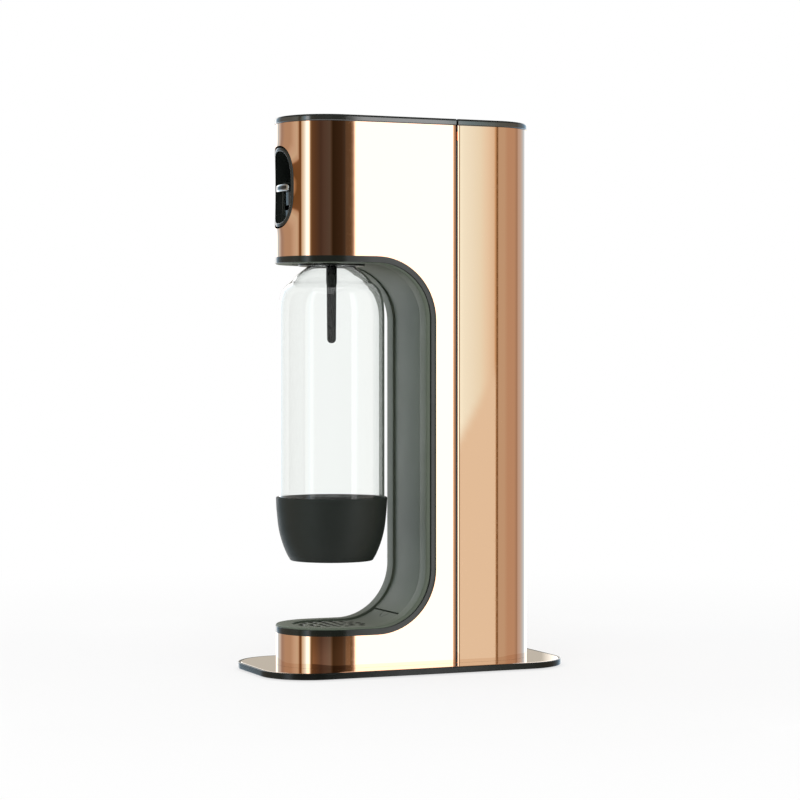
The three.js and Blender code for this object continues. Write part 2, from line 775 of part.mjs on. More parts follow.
addPiece(bottleGroup, 'mixing_head', turned([
  [0, discBottom], [skirtBore, discBottom], [skirtBore, collarTop + gap],
  [skirtBore + mixer.skirtWall, collarTop + gap], [skirtBore + mixer.skirtWall, mixerTop],
  [mixer.spigotRadius, mixerTop], [mixer.spigotRadius, spigotTop], [0, spigotTop],
], mediumTurn), darkPlastic);
addPiece(bottleGroup, 'bottle_seal', ring(
  seal.bore, bottle.neckRadius, discBottom - gap - seal.height, discBottom - gap, mediumTurn,
), rubber);
addPiece(bottleGroup, 'lock_ring', turned([
  [lockRing.mouthRadius, ringBottom],
  [lockRing.collarRadius, ringBottom],
  [lockRing.collarRadius, collarTop],
  [lockRing.sleeveRadius, collarTop],
  [lockRing.sleeveRadius, ringTop],
  [lockRing.bore, ringTop],
  [lockRing.bore, ringBottom + lockRing.coneHeight],
], fineTurn), darkPlastic);
addPiece(bottleGroup, 'nozzle_nut', ring(
  nozzle.sleeveRadius + gap, nozzle.nutRadius, discBottom - gap - nozzle.nutHeight, discBottom - gap,
  mediumTurn,
), darkPlastic);
const nozzleTop = discBottom - gap;
const nozzleTip = nozzleTop - nozzle.length;
const sleeveBottom = nozzleTop - nozzle.sleeveLength;
addPiece(bottleGroup, 'nozzle_tube', turned([
  [nozzle.bore, nozzleTip],
  [nozzle.radius - nozzle.tipRound / 2, nozzleTip],
  [nozzle.radius, nozzleTip + nozzle.tipRound],
  [nozzle.radius, sleeveBottom],
  [nozzle.sleeveRadius, sleeveBottom],
  [nozzle.sleeveRadius, nozzleTop],
  [nozzle.bore, nozzleTop],
], coarseTurn), darkPlastic);

const reliefGroup = addGroup(relief.x, bottleY, 0);
const reliefFloor = onDeck + relief.floor;
const reliefTop = onDeck + relief.height;
const discRadius = relief.bore - gap;
const discTop = reliefFloor + gap + relief.discHeight;
const reliefCapTop = reliefTop + gap + relief.capHeight;

addPiece(reliefGroup, 'relief_body', turned([
  [0, onDeck], [relief.radius, onDeck], [relief.radius, reliefTop], [relief.bore, reliefTop],
  [relief.bore, reliefFloor], [0, reliefFloor],
], mediumTurn), brass);
addPiece(reliefGroup, 'relief_cap', ring(
  relief.stemHole, relief.radius, reliefTop + gap, reliefCapTop, mediumTurn,
), brass);
addPiece(reliefGroup, 'relief_poppet', turned([
  [0, reliefFloor + gap], [discRadius, reliefFloor + gap], [discRadius, discTop],
  [relief.stemRadius, discTop], [relief.stemRadius, reliefCapTop + relief.stemOut],
  [0, reliefCapTop + relief.stemOut],
], coarseTurn), brass);
addPiece(reliefGroup, 'relief_spring', coil(reliefWire, discTop + gap, reliefTop), steel);

// Bottle: clear body with a narrow neck moulded on, standing in a dark cup

const cupTop = cup.bottom + cup.height;
const mouthZ = deck.bottom - bottle.mouthDrop;
const neckFoot = mouthZ - bottle.neckHeight;
const shoulderTop = neckFoot - bottle.neckFlare;
const bodyTop = shoulderTop - bottle.shoulderHeight;
const cupOutside = cupShares.map(([outShare, upShare]) => [
  cup.footRadius + (cup.rimRadius - cup.footRadius) * outShare, cup.bottom + cup.height * upShare,
]);
const shoulder = shoulderShares.map(([inShare, upShare]) => [
  bottle.bodyRadius - (bottle.bodyRadius - bottle.shoulderRadius) * inShare,
  bodyTop + bottle.shoulderHeight * upShare,
]);

function cupInside() {
  return cupOutside.slice(1).map(([r, z]) => [r - cup.wall, z]);
}

function bottleCup() {
  const insideFloor = cup.bottom + cup.floor;
  const inside = cupInside().filter(([, z]) => z > insideFloor);
  return turned([
    [0, cup.bottom], ...cupOutside, ...inside.reverse(),
    [cup.footRadius - cup.wall, insideFloor], [0, insideFloor],
  ], fineTurn);
}

function bottleBody() {
  const bottom = cup.bottom + cup.floor + gap;
  const footRadius = cup.footRadius - cup.wall - gap;
  const low = cupInside().filter(([, z]) => z > bottom).map(([r, z]) => [r - gap, z]);
  const outside = [
    [footRadius, bottom], ...low.slice(0, -1), [bottle.bodyRadius, cupTop], ...shoulder,
  ];
  const inside = [
    [footRadius - bottle.wall, bottom + bottle.floor],
    ...low.slice(1, -1).map(([r, z]) => [r - bottle.wall, z]),
    [bottle.bodyRadius - bottle.wall, cupTop],
    ...shoulder.slice(0, -2).map(([r, z]) => [r - bottle.wall, z - bottle.wall / 2]),
    [bottle.neckBore, shoulderTop],
  ];
  return turned([[0, bottom], ...outside, ...inside.reverse(), [0, bottom + bottle.floor]], fineTurn);
}

function bottleNeck() {
  return turned([
    [bottle.neckBore, shoulderTop + gap], [bottle.shoulderRadius, shoulderTop + gap],
    [bottle.neckRadius, neckFoot], [bottle.neckRadius, mouthZ], [bottle.neckBore, mouthZ],
  ], fineTurn);
}

addPiece(bottleGroup, 'bottle_cup', bottleCup(), softPlastic);
addPiece(bottleGroup, 'bottle_body', bottleBody(), clear);
addPiece(bottleGroup, 'bottle_neck', bottleNeck(), clear);

// Gas side: cylinder with its valve, cradle, regulator, plunger and the hose to the mixing head

const cylinderGroup = addGroup(0, cylinderY, 0);
const socketTop = regulatorTop - regulator.roof;
const gasketBottom = socketTop - gap - gasket.height;
const valveTop = gasketBottom - gap;
const cylinderTop = valveTop - valve.height;
const cylinderBottom = aboveFloor + cradle.floor + cylinder.standOff;
const pinTop = valveTop + valve.pinOut;
const armAtPlunger = crestZ
  + ((pivotZ - crestZ) * (cylinderY - lever.crestY)) / (lever.pivotY - lever.crestY);
const plungerTop = armAtPlunger - lever.thickness / 2 - gap;

function gasCylinder() {
  const wall = cylinder.wall;
  const bottom = cylinderBottom;
  const neckBottom = cylinderTop - cylinder.neckHeight;
  const dome = cylinder.shoulderHeight;
  const shoulderZ = neckBottom - dome;
  const reach = cylinder.radius - cylinder.neckRadius;
  const domeShares = [[0.05, 0.35], [0.22, 0.66], [0.55, 0.9]];
  const outside = domeShares.map(([inShare, upShare]) => [
    cylinder.radius - reach * inShare, shoulderZ + dome * upShare,
  ]);
  const inside = domeShares.map(([inShare, upShare]) => [
    cylinder.radius - wall - (reach - wall) * inShare, shoulderZ + (dome - wall) * upShare,
  ]);
  return turned([
    [0, bottom],
    [cylinder.radius - cylinder.footRound, bottom],
    [cylinder.radius, bottom + cylinder.footRound],
    [cylinder.radius, shoulderZ],
    ...outside,
    [cylinder.neckRadius, neckBottom],
    [cylinder.neckRadius, cylinderTop],
    [cylinder.bore, cylinderTop],
    [cylinder.bore, neckBottom - wall],
    ...inside.reverse(),
    [cylinder.radius - wall, shoulderZ],
    [cylinder.radius - wall, bottom + cylinder.footRound],
    [cylinder.radius - wall - cylinder.footRound, bottom + wall],
    [0, bottom + wall],
  ], mediumTurn);
}

const stemBottom = cylinderTop - valve.stemDepth;
const valveStep = cylinderTop + valve.bodyHeight;
const pinBoreBottom = valveTop - valve.pinBoreDepth;

addPiece(cylinderGroup, 'gas_cylinder', gasCylinder(), silver);
addPiece(cylinderGroup, 'cylinder_valve', turned([
  [0, stemBottom],
  [cylinder.bore - gap, stemBottom],
  [cylinder.bore - gap, cylinderTop + gap],
  [valve.bodyRadius, cylinderTop + gap],
  [valve.bodyRadius, valveStep],
  [valve.threadRadius, valveStep],
  [valve.threadRadius, valveTop],
  [valve.pinBore, valveTop],
  [valve.pinBore, pinBoreBottom],
  [0, pinBoreBottom],
], mediumTurn), brass);
addPiece(
  cylinderGroup, 'valve_pin',
  rod(valve.pinRadius, pinBoreBottom + valve.pinStand, pinTop, coarseTurn), steel,
);
addPiece(cylinderGroup, 'cylinder_gasket', ring(
  gasket.bore, regulator.socket - gap, gasketBottom, gasketBottom + gasket.height, mediumTurn,
), rubber);
addPiece(cylinderGroup, 'valve_plunger', turned([
  [0, pinTop + gap],
  [plunger.radius, pinTop + gap],
  [plunger.radius, plungerTop - plunger.head],
  [plunger.headRadius, plungerTop - plunger.head],
  [plunger.headRadius, plungerTop - plunger.crown],
  [plunger.crownRadius, plungerTop],
  [0, plungerTop],
], coarseTurn), steel);

function regulatorBlock() {
  return cut(
    block(
      -regulator.halfWidth, regulator.halfWidth, behindWeb, regulator.rear, regulatorBottom, regulatorTop,
    ),
    upright(circle(0, cylinderY, regulator.socket, mediumTurn), regulatorBottom - overrun, socketTop),
    upright(circle(0, cylinderY, regulator.passage, coarseTurn), regulatorBottom, regulatorTop + overrun),
  );
}

function cylinderCradle() {
  const bore = cylinder.radius + cradle.clearance;
  const outside = bore + cradle.wall;
  const top = aboveFloor + cradle.height;
  const bowl = cut(
    upright(circle(0, cylinderY, outside, mediumTurn), aboveFloor, top),
    upright(circle(0, cylinderY, bore, mediumTurn), aboveFloor + cradle.floor, top + overrun),
  );
  return cut(bowl, block(
    -cradle.mouthHalfWidth, cradle.mouthHalfWidth, cylinderY, cylinderY + outside + overrun,
    aboveFloor + cradle.floor, top + overrun,
  ));
}

addPiece(machine, 'regulator_block', regulatorBlock(), brass);
addPiece(machine, 'cylinder_cradle', cylinderCradle(), darkPlastic);

const portY = bottleY + mixer.spigotRadius + gap;
const fittingRear = portY + fitting.frontLength;

function gasHose() {
  const start = new THREE.Vector3(0, fittingRear + gap, hoseHeadZ);
  const end = new THREE.Vector3(hose.portX, fitting.rearFront - gap, hosePortZ);
  const reach = end.clone().sub(start);
  const between = hoseShares.map((shares) => new THREE.Vector3(...shares).multiply(reach).add(start));
  const path = new THREE.CatmullRomCurve3([start, ...between, end]);
  return tube(path, hose.radius, hoseSides, hoseSteps);
}

addPiece(machine, 'hose_fitting_front', lengthwise(
  circle(0, hoseHeadZ, fitting.radius, coarseTurn), portY, fittingRear,
), brass);
addPiece(machine, 'hose_fitting_rear', lengthwise(
  circle(hose.portX, hosePortZ, fitting.radius, coarseTurn), fitting.rearFront, webRear,
), brass);
addPiece(machine, 'gas_hose', gasHose(), rubber);

export default machine;
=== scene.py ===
from math import pi, radians

import bmesh
import bpy
import numpy as np
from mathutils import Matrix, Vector


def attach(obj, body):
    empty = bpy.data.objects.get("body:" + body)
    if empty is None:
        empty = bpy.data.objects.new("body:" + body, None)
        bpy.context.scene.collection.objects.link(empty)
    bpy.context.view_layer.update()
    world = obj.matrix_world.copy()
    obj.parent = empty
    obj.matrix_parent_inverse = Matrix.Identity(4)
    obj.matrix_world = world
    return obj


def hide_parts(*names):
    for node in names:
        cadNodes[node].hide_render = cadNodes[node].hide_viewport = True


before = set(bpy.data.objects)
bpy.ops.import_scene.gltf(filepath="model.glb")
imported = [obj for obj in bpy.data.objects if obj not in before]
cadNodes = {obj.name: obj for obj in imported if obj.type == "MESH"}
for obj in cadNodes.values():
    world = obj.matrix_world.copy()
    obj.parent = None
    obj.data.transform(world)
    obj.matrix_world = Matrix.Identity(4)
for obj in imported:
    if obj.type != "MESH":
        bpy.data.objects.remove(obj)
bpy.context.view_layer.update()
mm = 0.001  # the shapes below are written in millimetres
print("frame loaded:", len(cadNodes), "nodes")

# Camera and picture; towards is the direction on the floor plan

view = {
    "place": (1.8326, -0.7745, 0.2448), "towards": (-0.921, 0.389), "downDegrees": 0.82,
    "lens": 110.443, "sensor": 36, "clip": (0.05, 60),
}


def take(values, keys):
    # the values of several keys, written as one string
    return [values[key] for key in keys.split()]


def addObject(name, data):
    thing = bpy.data.objects.new(name, data)
    bpy.context.scene.collection.objects.link(thing)
    return thing


def aim(thing, direction):
    # a camera or lamp looks along its own -Z
    thing.rotation_mode = "QUATERNION"
    thing.rotation_quaternion = Vector(direction).to_track_quat("-Z", "Y")


def makeCamera():
    camera = addObject("camera", bpy.data.cameras.new("camera"))
    camera.data.lens = view["lens"]
    camera.data.sensor_width = view["sensor"]
    camera.data.clip_start, camera.data.clip_end = view["clip"]
    level = np.hypot(*view["towards"])
    camera.location = view["place"]
    aim(camera, (*view["towards"], -level * np.tan(radians(view["downDegrees"]))))
    bpy.context.scene.camera = camera
    bpy.context.scene.view_settings.view_transform = "Standard"


makeCamera()
print("camera placed")

# Surfaces as grids of points


def gridFaces(rows, columns, closeRows, closeColumns):
    # one quad for each cell; a closed direction joins its last line to its first
    i = np.arange(rows if closeRows else rows - 1)[:, None]
    j = np.arange(columns if closeColumns else columns - 1)[None, :]
    nextI, nextJ = (i + 1) % rows, (j + 1) % columns
    corners = (i * columns + j, i * columns + nextJ, nextI * columns + nextJ, nextI * columns + j)
    return np.stack(corners, -1).reshape(-1, 4)


def stacked(*parts):
    # points from a number or an array for each coordinate
    return np.stack(np.broadcast_arrays(*parts), -1)


def patch(points, closeRows=False, closeColumns=False):
    rows, columns = points.shape[:2]
    return points.reshape(-1, 3), gridFaces(rows, columns, closeRows, closeColumns)


# Points closer than weld are one, and edges sharper than sharpDegrees stay sharp
joints = {"weld": 0.002, "weldAfterCut": 0.001, "sharpDegrees": 30}


def rawMesh(name, patches):
    starts = np.cumsum([0] + [len(places) for places, _ in patches])
    places = np.concatenate([places for places, _ in patches]) * mm
    faces = np.concatenate([quads + start for (_, quads), start in zip(patches, starts)])
    mesh = bpy.data.meshes.new(name)
    mesh.from_pydata(places.tolist(), [], faces.tolist())
    return mesh


def meshOf(name, patches, fill=False):
    # patches are joined where their points meet, and fill closes the open ends
    mesh = rawMesh(name, patches)
    tidyMesh(mesh, joints["weld"], fill)
    return mesh


def shell(name, points, closeRows=False, closeColumns=False):
    # one patch, whose open ends are filled
    return meshOf(name, [patch(points, closeRows, closeColumns)], fill=True)


def tidyMesh(mesh, weld, fill=False):
    work = bmesh.new()
    work.from_mesh(mesh)
    bmesh.ops.remove_doubles(work, verts=work.verts, dist=weld * mm)
    bmesh.ops.dissolve_degenerate(work, edges=work.edges, dist=weld * mm)
    if fill:
        rim = [edge for edge in work.edges if edge.is_boundary]
        bmesh.ops.holes_fill(work, edges=rim, sides=0)
    bmesh.ops.recalc_face_normals(work, faces=work.faces)
    work.to_mesh(mesh)
    work.free()
    mesh.shade_smooth()
    mesh.set_sharp_from_angle(angle=radians(joints["sharpDegrees"]))


def cutMesh(mesh, cutters, operation="DIFFERENCE"):
    # a closed mesh without the closed cutters, or the part inside them
    target = addObject("cutTarget", mesh)
    tools = [addObject("cutTool", cutter) for cutter in cutters]
    for tool in tools:
        modifier = target.modifiers.new("cut", "BOOLEAN")
        modifier.operation, modifier.solver, modifier.object = operation, "EXACT", tool
    graph = bpy.context.evaluated_depsgraph_get()
    result = bpy.data.meshes.new_from_object(target.evaluated_get(graph))
    name = mesh.name
    for used in [target, *tools]:
        data = used.data
        bpy.data.objects.remove(used)
        bpy.data.meshes.remove(data)
    result.name = name
    tidyMesh(result, joints["weldAfterCut"])
    return result


def lathe(profile, centre, sides=96):
    # a profile of radius and height carried round an upright axis
    radius, height = np.asarray(profile, float).T
    turn = np.linspace(0, 2 * pi, sides, endpoint=False)[:, None]
    x, y = centre[0] + np.cos(turn) * radius, centre[1] + np.sin(turn) * radius
    return patch(stacked(x, y, height), closeRows=True)


def rod(radius, low, high, centre, sides=96):
    return lathe([(0, low), (radius, low), (radius, high), (0, high)], centre, sides)


def closedLathe(profile, centre, sides=96):
    # the same for a ring, whose profile returns to its own start
    return lathe(np.concatenate([profile, profile[:1]]), centre, sides)


def smoothCurve(points, steps=8):
    # cubics through the points, which pass each along the line between its neighbours
    points = np.asarray(points, float)
    padded = np.concatenate([[2 * points[0] - points[1]], points, [2 * points[-1] - points[-2]]])
    before, start, end, after = (padded[i:i + len(points) - 1, None] for i in range(4))
    t = np.linspace(0, 1, steps, endpoint=False)[None, :, None]
    curve = 0.5 * (
        2 * start + (end - before) * t + (2 * before - 5 * start + 4 * end - after) * t ** 2
        + (3 * start - before - 3 * end + after) * t ** 3
    )
    return np.concatenate([curve.reshape(-1, points.shape[1]), points[-1:]])


def roundedLoop(corners, radii, steps=5):
    # a closed line whose corners are eased by quadratic curves that start a radius away from each
    corners = np.asarray(corners, float)
    radii = np.broadcast_to(radii, len(corners))
    before = np.roll(corners, 1, 0) - corners
    after = np.roll(corners, -1, 0) - corners
    before *= (radii / np.linalg.norm(before, axis=1))[:, None]
    after *= (radii / np.linalg.norm(after, axis=1))[:, None]
    t = np.linspace(0, 1, steps)[None, :, None]
    eased = corners[:, None, :] + before[:, None, :] * (1 - t) ** 2 + after[:, None, :] * t ** 2
    return eased.reshape(-1, corners.shape[1])


def smoothStep(value):
    t = np.clip(value, 0, 1)
    return t * t * (3 - 2 * t)


def addPiece(mesh, finish, body, slotName, *replaced):
    piece = addObject(mesh.name, mesh)
    mesh.materials.clear()
    mesh.materials.append(look[finish])
    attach(piece, body)
    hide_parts(*replaced)
    return piece


# Finishes


def setInputs(tree, node, inputs):
    # an input takes a fixed value, or is linked where its value is another node's socket
    for key, value in inputs.items():
        if isinstance(value, bpy.types.NodeSocket):
            tree.links.new(value, node.inputs[key])
        else:
            node.inputs[key].default_value = value


def addNode(tree, kind, inputs=(), **settings):
    node = tree.nodes.new("ShaderNode" + kind)
    for key, value in settings.items():
        setattr(node, key, value)
    setInputs(tree, node, dict(inputs))
    return node


def nodeGroup(name, inputs, output, outputKind):
    # a number makes a plain socket and four of them a colour
    group = bpy.data.node_groups.new(name, "ShaderNodeTree")
    for key, value in inputs.items():
        kind = "NodeSocketColor" if isinstance(value, tuple) else "NodeSocketFloat"
        group.interface.new_socket(key, in_out="INPUT", socket_type=kind).default_value = value
    group.interface.new_socket(output, in_out="OUTPUT", socket_type="NodeSocket" + outputKind)
    return group, group.nodes.new("NodeGroupInput"), group.nodes.new("NodeGroupOutput")


def noiseIn(group, entry, detail=3, stretched=False):
    # noise on the piece's own coordinates; Stretch draws it out into level streaks
    place = addNode(group, "TexCoord").outputs["Object"]
    if stretched:
        factors = addNode(group, "CombineXYZ", {"X": 1, "Y": 1, "Z": entry.outputs["Stretch"]})
        inputs = {0: place, 1: factors.outputs["Vector"]}
        place = addNode(group, "VectorMath", inputs, operation="MULTIPLY").outputs["Vector"]
    inputs = {"Vector": place, "Scale": entry.outputs["Scale"], "Detail": detail}
    return addNode(group, "TexNoise", inputs).outputs["Fac"]


def makeSpreadGroup():
    # noise stretched between a low and a high value
    inputs = {"Scale": 60, "Stretch": 1, "Low": 0.3, "High": 0.4}
    group, entry, leave = nodeGroup("valueSpread", inputs, "Value", "Float")
    spread = addNode(group, "MapRange", {
        "Value": noiseIn(group, entry, stretched=True), "From Min": 0.3, "From Max": 0.7,
        "To Min": entry.outputs["Low"], "To Max": entry.outputs["High"],
    })
    setInputs(group, leave, {"Value": spread.outputs["Result"]})
    return group


def makeToneGroup():
    # a colour that drifts a little towards a second one
    white = (1, 1, 1, 1)
    inputs = {"Scale": 30, "First": white, "Second": white}
    group, entry, leave = nodeGroup("toneDrift", inputs, "Color", "Color")
    inputs = {
        "Factor": noiseIn(group, entry), "A": entry.outputs["First"], "B": entry.outputs["Second"],
    }
    mix = addNode(group, "Mix", inputs, data_type="RGBA")
    setInputs(group, leave, {"Color": mix.outputs["Result"]})
    return group


def makeGrainGroup():
    # the fine relief of a moulded or cast surface
    inputs = {"Scale": 900, "Depth": 0.0001}
    group, entry, leave = nodeGroup("surfaceGrain", inputs, "Normal", "Vector")
    inputs = {"Height": noiseIn(group, entry, detail=2), "Distance": entry.outputs["Depth"]}
    setInputs(group, leave, {"Normal": addNode(group, "Bump", inputs).outputs["Normal"]})
    return group


spreadGroup, toneGroup, grainGroup = makeSpreadGroup(), makeToneGroup(), makeGrainGroup()

# Tones are two colours and the scale of the drift between them, rough is the low and the high
# roughness and their scale, and grain a scale and a depth
finishes = {
    "copperSkin": {
        "tones": ((0.88, 0.55, 0.38), (0.87, 0.53, 0.36), 6), "metallic": 1,
        "rough": (0.012, 0.03, 18), "stretch": 14,
    },
    "copperPlate": {
        "tones": ((0.82, 0.68, 0.58), (0.79, 0.65, 0.55), 12), "metallic": 1,
        "rough": (0.04, 0.08, 30),
    },
    "darkPlastic": {
        "tones": ((0.006, 0.008, 0.007), (0.009, 0.011, 0.0095), 40), "rough": (0.2, 0.28, 50),
        "grain": (1400, 0.00003), "ior": 1.35,
    },
    "capPlastic": {
        "tones": ((0.018, 0.021, 0.019), (0.023, 0.026, 0.023), 40), "rough": (0.1, 0.15, 50),
        "ior": 2.0,
    },
    "glossBlack": {
        "tones": ((0.003, 0.004, 0.003), (0.005, 0.006, 0.005), 30), "rough": (0.04, 0.08, 40),
    },
    "dishBlack": {
        "tones": ((0.012, 0.015, 0.013), (0.016, 0.019, 0.017), 30), "rough": (0.12, 0.18, 40),
    },
    "ringPlastic": {
        "tones": ((0.009, 0.011, 0.009), (0.013, 0.015, 0.013), 30), "rough": (0.16, 0.22, 40),
        "ior": 1.5,
    },
    "nozzleBlack": {
        "tones": ((0.003, 0.004, 0.003), (0.005, 0.006, 0.005), 30), "rough": (0.1, 0.16, 40),
        "ior": 1.25,
    },
    "trimBlack": {
        "tones": ((0.01, 0.013, 0.01), (0.014, 0.017, 0.014), 30), "rough": (0.16, 0.22, 40),
        "ior": 1.45,
    },
    "greyPlastic": {
        "tones": ((0.1, 0.122, 0.09), (0.108, 0.13, 0.098), 20), "rough": (0.5, 0.54, 50),
        "grain": (1600, 0.00001), "ior": 1.4,
    },
    "innerPlastic": {
        "tones": ((0.03, 0.032, 0.03), (0.04, 0.042, 0.038), 25), "rough": (0.5, 0.6, 50),
        "grain": (900, 0.0001),
    },
    "chromeTrim": {
        "tones": ((0.52, 0.53, 0.53), (0.46, 0.47, 0.47), 60), "metallic": 1,
        "rough": (0.08, 0.14, 90),
    },
    "turnedSteel": {
        "tones": ((0.55, 0.56, 0.57), (0.48, 0.49, 0.5), 90), "metallic": 1,
        "rough": (0.28, 0.4, 160), "grain": (2200, 0.00003),
    },
    "brassFitting": {
        "tones": ((0.66, 0.5, 0.2), (0.56, 0.4, 0.15), 60), "metallic": 1,
        "rough": (0.22, 0.36, 110), "grain": (1800, 0.00003),
    },
    "blackRubber": {
        "tones": ((0.012, 0.012, 0.012), (0.02, 0.02, 0.019), 80), "rough": (0.75, 0.9, 120),
        "grain": (1500, 0.00012),
    },
    "softCup": {
        "tones": ((0.013, 0.018, 0.0155), (0.016, 0.021, 0.018), 40), "rough": (0.5, 0.58, 80),
        "grain": (2400, 0.00005), "ior": 1.38,
    },
    "paintedCylinder": {
        "tones": ((0.42, 0.44, 0.45), (0.38, 0.4, 0.41), 22), "metallic": 0.9,
        "rough": (0.3, 0.42, 60), "grain": (1300, 0.00005),
    },
    "clearBottle": {
        "tones": ((0.966, 0.981, 0.97), (0.96, 0.976, 0.966), 10), "rough": (0.005, 0.02, 30),
        "transmission": 1, "ior": 1.46,
    },
}


def makeFinish(name, finish):
    material = bpy.data.materials.new(name)
    material.use_nodes = True
    tree = material.node_tree
    first, second, scale = finish["tones"]
    inputs = {"Scale": scale, "First": (*first, 1), "Second": (*second, 1)}
    tone = addNode(tree, "Group", inputs, node_tree=toneGroup)
    low, high, scale = finish["rough"]
    inputs = {"Scale": scale, "Stretch": finish.get("stretch", 1), "Low": low, "High": high}
    rough = addNode(tree, "Group", inputs, node_tree=spreadGroup)
    shader = {
        "Base Color": tone.outputs["Color"], "Roughness": rough.outputs["Value"],
        "Metallic": finish.get("metallic", 0), "IOR": finish.get("ior", 1.45),
        "Transmission Weight": finish.get("transmission", 0),
    }
    if "grain" in finish:
        inputs = dict(zip(("Scale", "Depth"), finish["grain"]))
        grain = addNode(tree, "Group", inputs, node_tree=grainGroup)
        shader["Normal"] = grain.outputs["Normal"]
    setInputs(tree, tree.nodes["Principled BSDF"], shader)
    return material


look = {name: makeFinish(name, finish) for name, finish in finishes.items()}
print("finishes made:", len(look))

# Plan of the housing: straight sides with a half circle at each end

plan = {
    "radius": 41, "sheet": 1, "frontY": -64, "rearY": 68, "bottom": 6.04, "top": 436.1,
    "capFront": 30.9, "capRear": 32.6,
}
bottleAxis, cylinderAxis = (0, -60), (0, 66)
# The skins turn inwards beside the seam, at a slope that grows from start to end, in degrees
frontEdge = {"seam": 30.7, "width": 2.3, "start": 6, "end": 25}
rearEdge = {"seam": 32.0, "width": 2.3, "start": 45, "end": 51.5}
edgeSteps = 8
# Painted shade: a dark strip behind each seam, so that the gap between the skins reads dark
seamShade = {"near": 38.5, "far": 39.3, "from": 29.8, "to": 31.8, "low": 8, "high": 434}
mirror = np.array([-1, 1, 1, -1, 1, 1])  # turns places and directions over to the other side


def planPath(seam, centreY, arcSteps=72, sideSteps=10):
    # from the seam along one side, round the end and back; each row is a place on the middle line
    # and the level direction out from it
    turn = np.linspace(0, pi, arcSteps + 1)
    ahead = np.sign(centreY - seam) * np.sin(turn)
    side = stacked(0, np.linspace(seam, centreY, sideSteps, endpoint=False), 0, 1, 0, 0)
    arc = stacked(0, centreY, 0, np.cos(turn), ahead, 0)
    return np.concatenate([side, arc, side[::-1] * mirror])


def sweptPlan(path, section):
    # the section's distance from the middle line and height at each place of the path
    section = np.asarray(section, float)
    return path[:, None, :3] + path[:, None, 3:] * section[:, :1] + [0, 0, 1] * section[:, 1:]


# Skins

oval = {"centreZ": 385.6, "halfWidth": 20.6, "halfHeight": 32.4, "power": 2.75, "clear": 0.3}
lipRise = {"height": 0.58, "reach": 5.3}  # the skin swells a little towards the oval
# The heights of the rows of points, and how far the two cuts go
frontSkin = {
    "arcSteps": 120, "low": [60, 120, 200, 280], "head": (332, 435, 53), "bayHalf": 50,
    "cutFront": -112, "ovalBack": -70, "ovalSteps": 320,
}
rearSkin = {"arcSteps": 96, "levels": [100, 200, 300, 400]}


def superellipse(power, steps):
    # of half sizes one: a power below one of cosine and sine
    turn = np.linspace(0, 2 * pi, steps, endpoint=False)
    return [np.sign(part) * np.abs(part) ** (2 / power) for part in (np.cos(turn), np.sin(turn))]


def ovalLine(inset, steps=160):
    x, z = superellipse(oval["power"], steps)
    return (oval["halfWidth"] - inset) * x, oval["centreZ"] + (oval["halfHeight"] - inset) * z


def riseAt(x, z):
    # falls off with the square of what is left of the reach outside the oval
    power = oval["power"]
    size = (
        (np.abs(x) / oval["halfWidth"]) ** power
        + (np.abs(z - oval["centreZ"]) / oval["halfHeight"]) ** power
    ) ** (1 / power)
    outside = np.maximum(size - 1, 0) * oval["halfWidth"]
    return lipRise["height"] * np.maximum(1 - outside / lipRise["reach"], 0) ** 2


def edgedPath(edge, centreY, arcSteps):
    # the plan's path with an edge added at both ends, whose places move in as the slope grows
    seam, width = edge["seam"], edge["width"]
    ahead = np.sign(seam - centreY)
    path = planPath(seam - ahead * width, centreY, arcSteps)
    t = np.linspace(0, 1, edgeSteps + 1)
    slope = np.radians(edge["start"] + (edge["end"] - edge["start"]) * (t[1:] + t[:-1]) / 2)
    inwards = -np.cumsum(np.tan(slope) * width / len(slope))[::-1]
    y = seam - ahead * width * (1 - t[:0:-1])
    near = stacked(inwards, y, 0, 1, 0, 0)
    return np.concatenate([near, path, near[::-1] * mirror])


def skinSolid(name, path, levels):
    radius, sheet = plan["radius"], plan["sheet"]
    section = np.concatenate([stacked(radius, levels), stacked(radius - sheet, levels[::-1])])
    points = sweptPlan(path, section)
    out = path[:, None, 3:]
    rise = np.where(out[..., 1] < 0, riseAt(points[..., 0], points[..., 2]), 0)
    return shell(name, points + out * rise[..., None], closeColumns=True)


def readAll(source, key, width=3, kind=float):
    values = np.empty(len(source) * width, kind)
    source.foreach_get(key, values)
    return values.reshape(-1, width)


def unit(vectors):
    return vectors / np.linalg.norm(vectors, axis=1)[:, None]


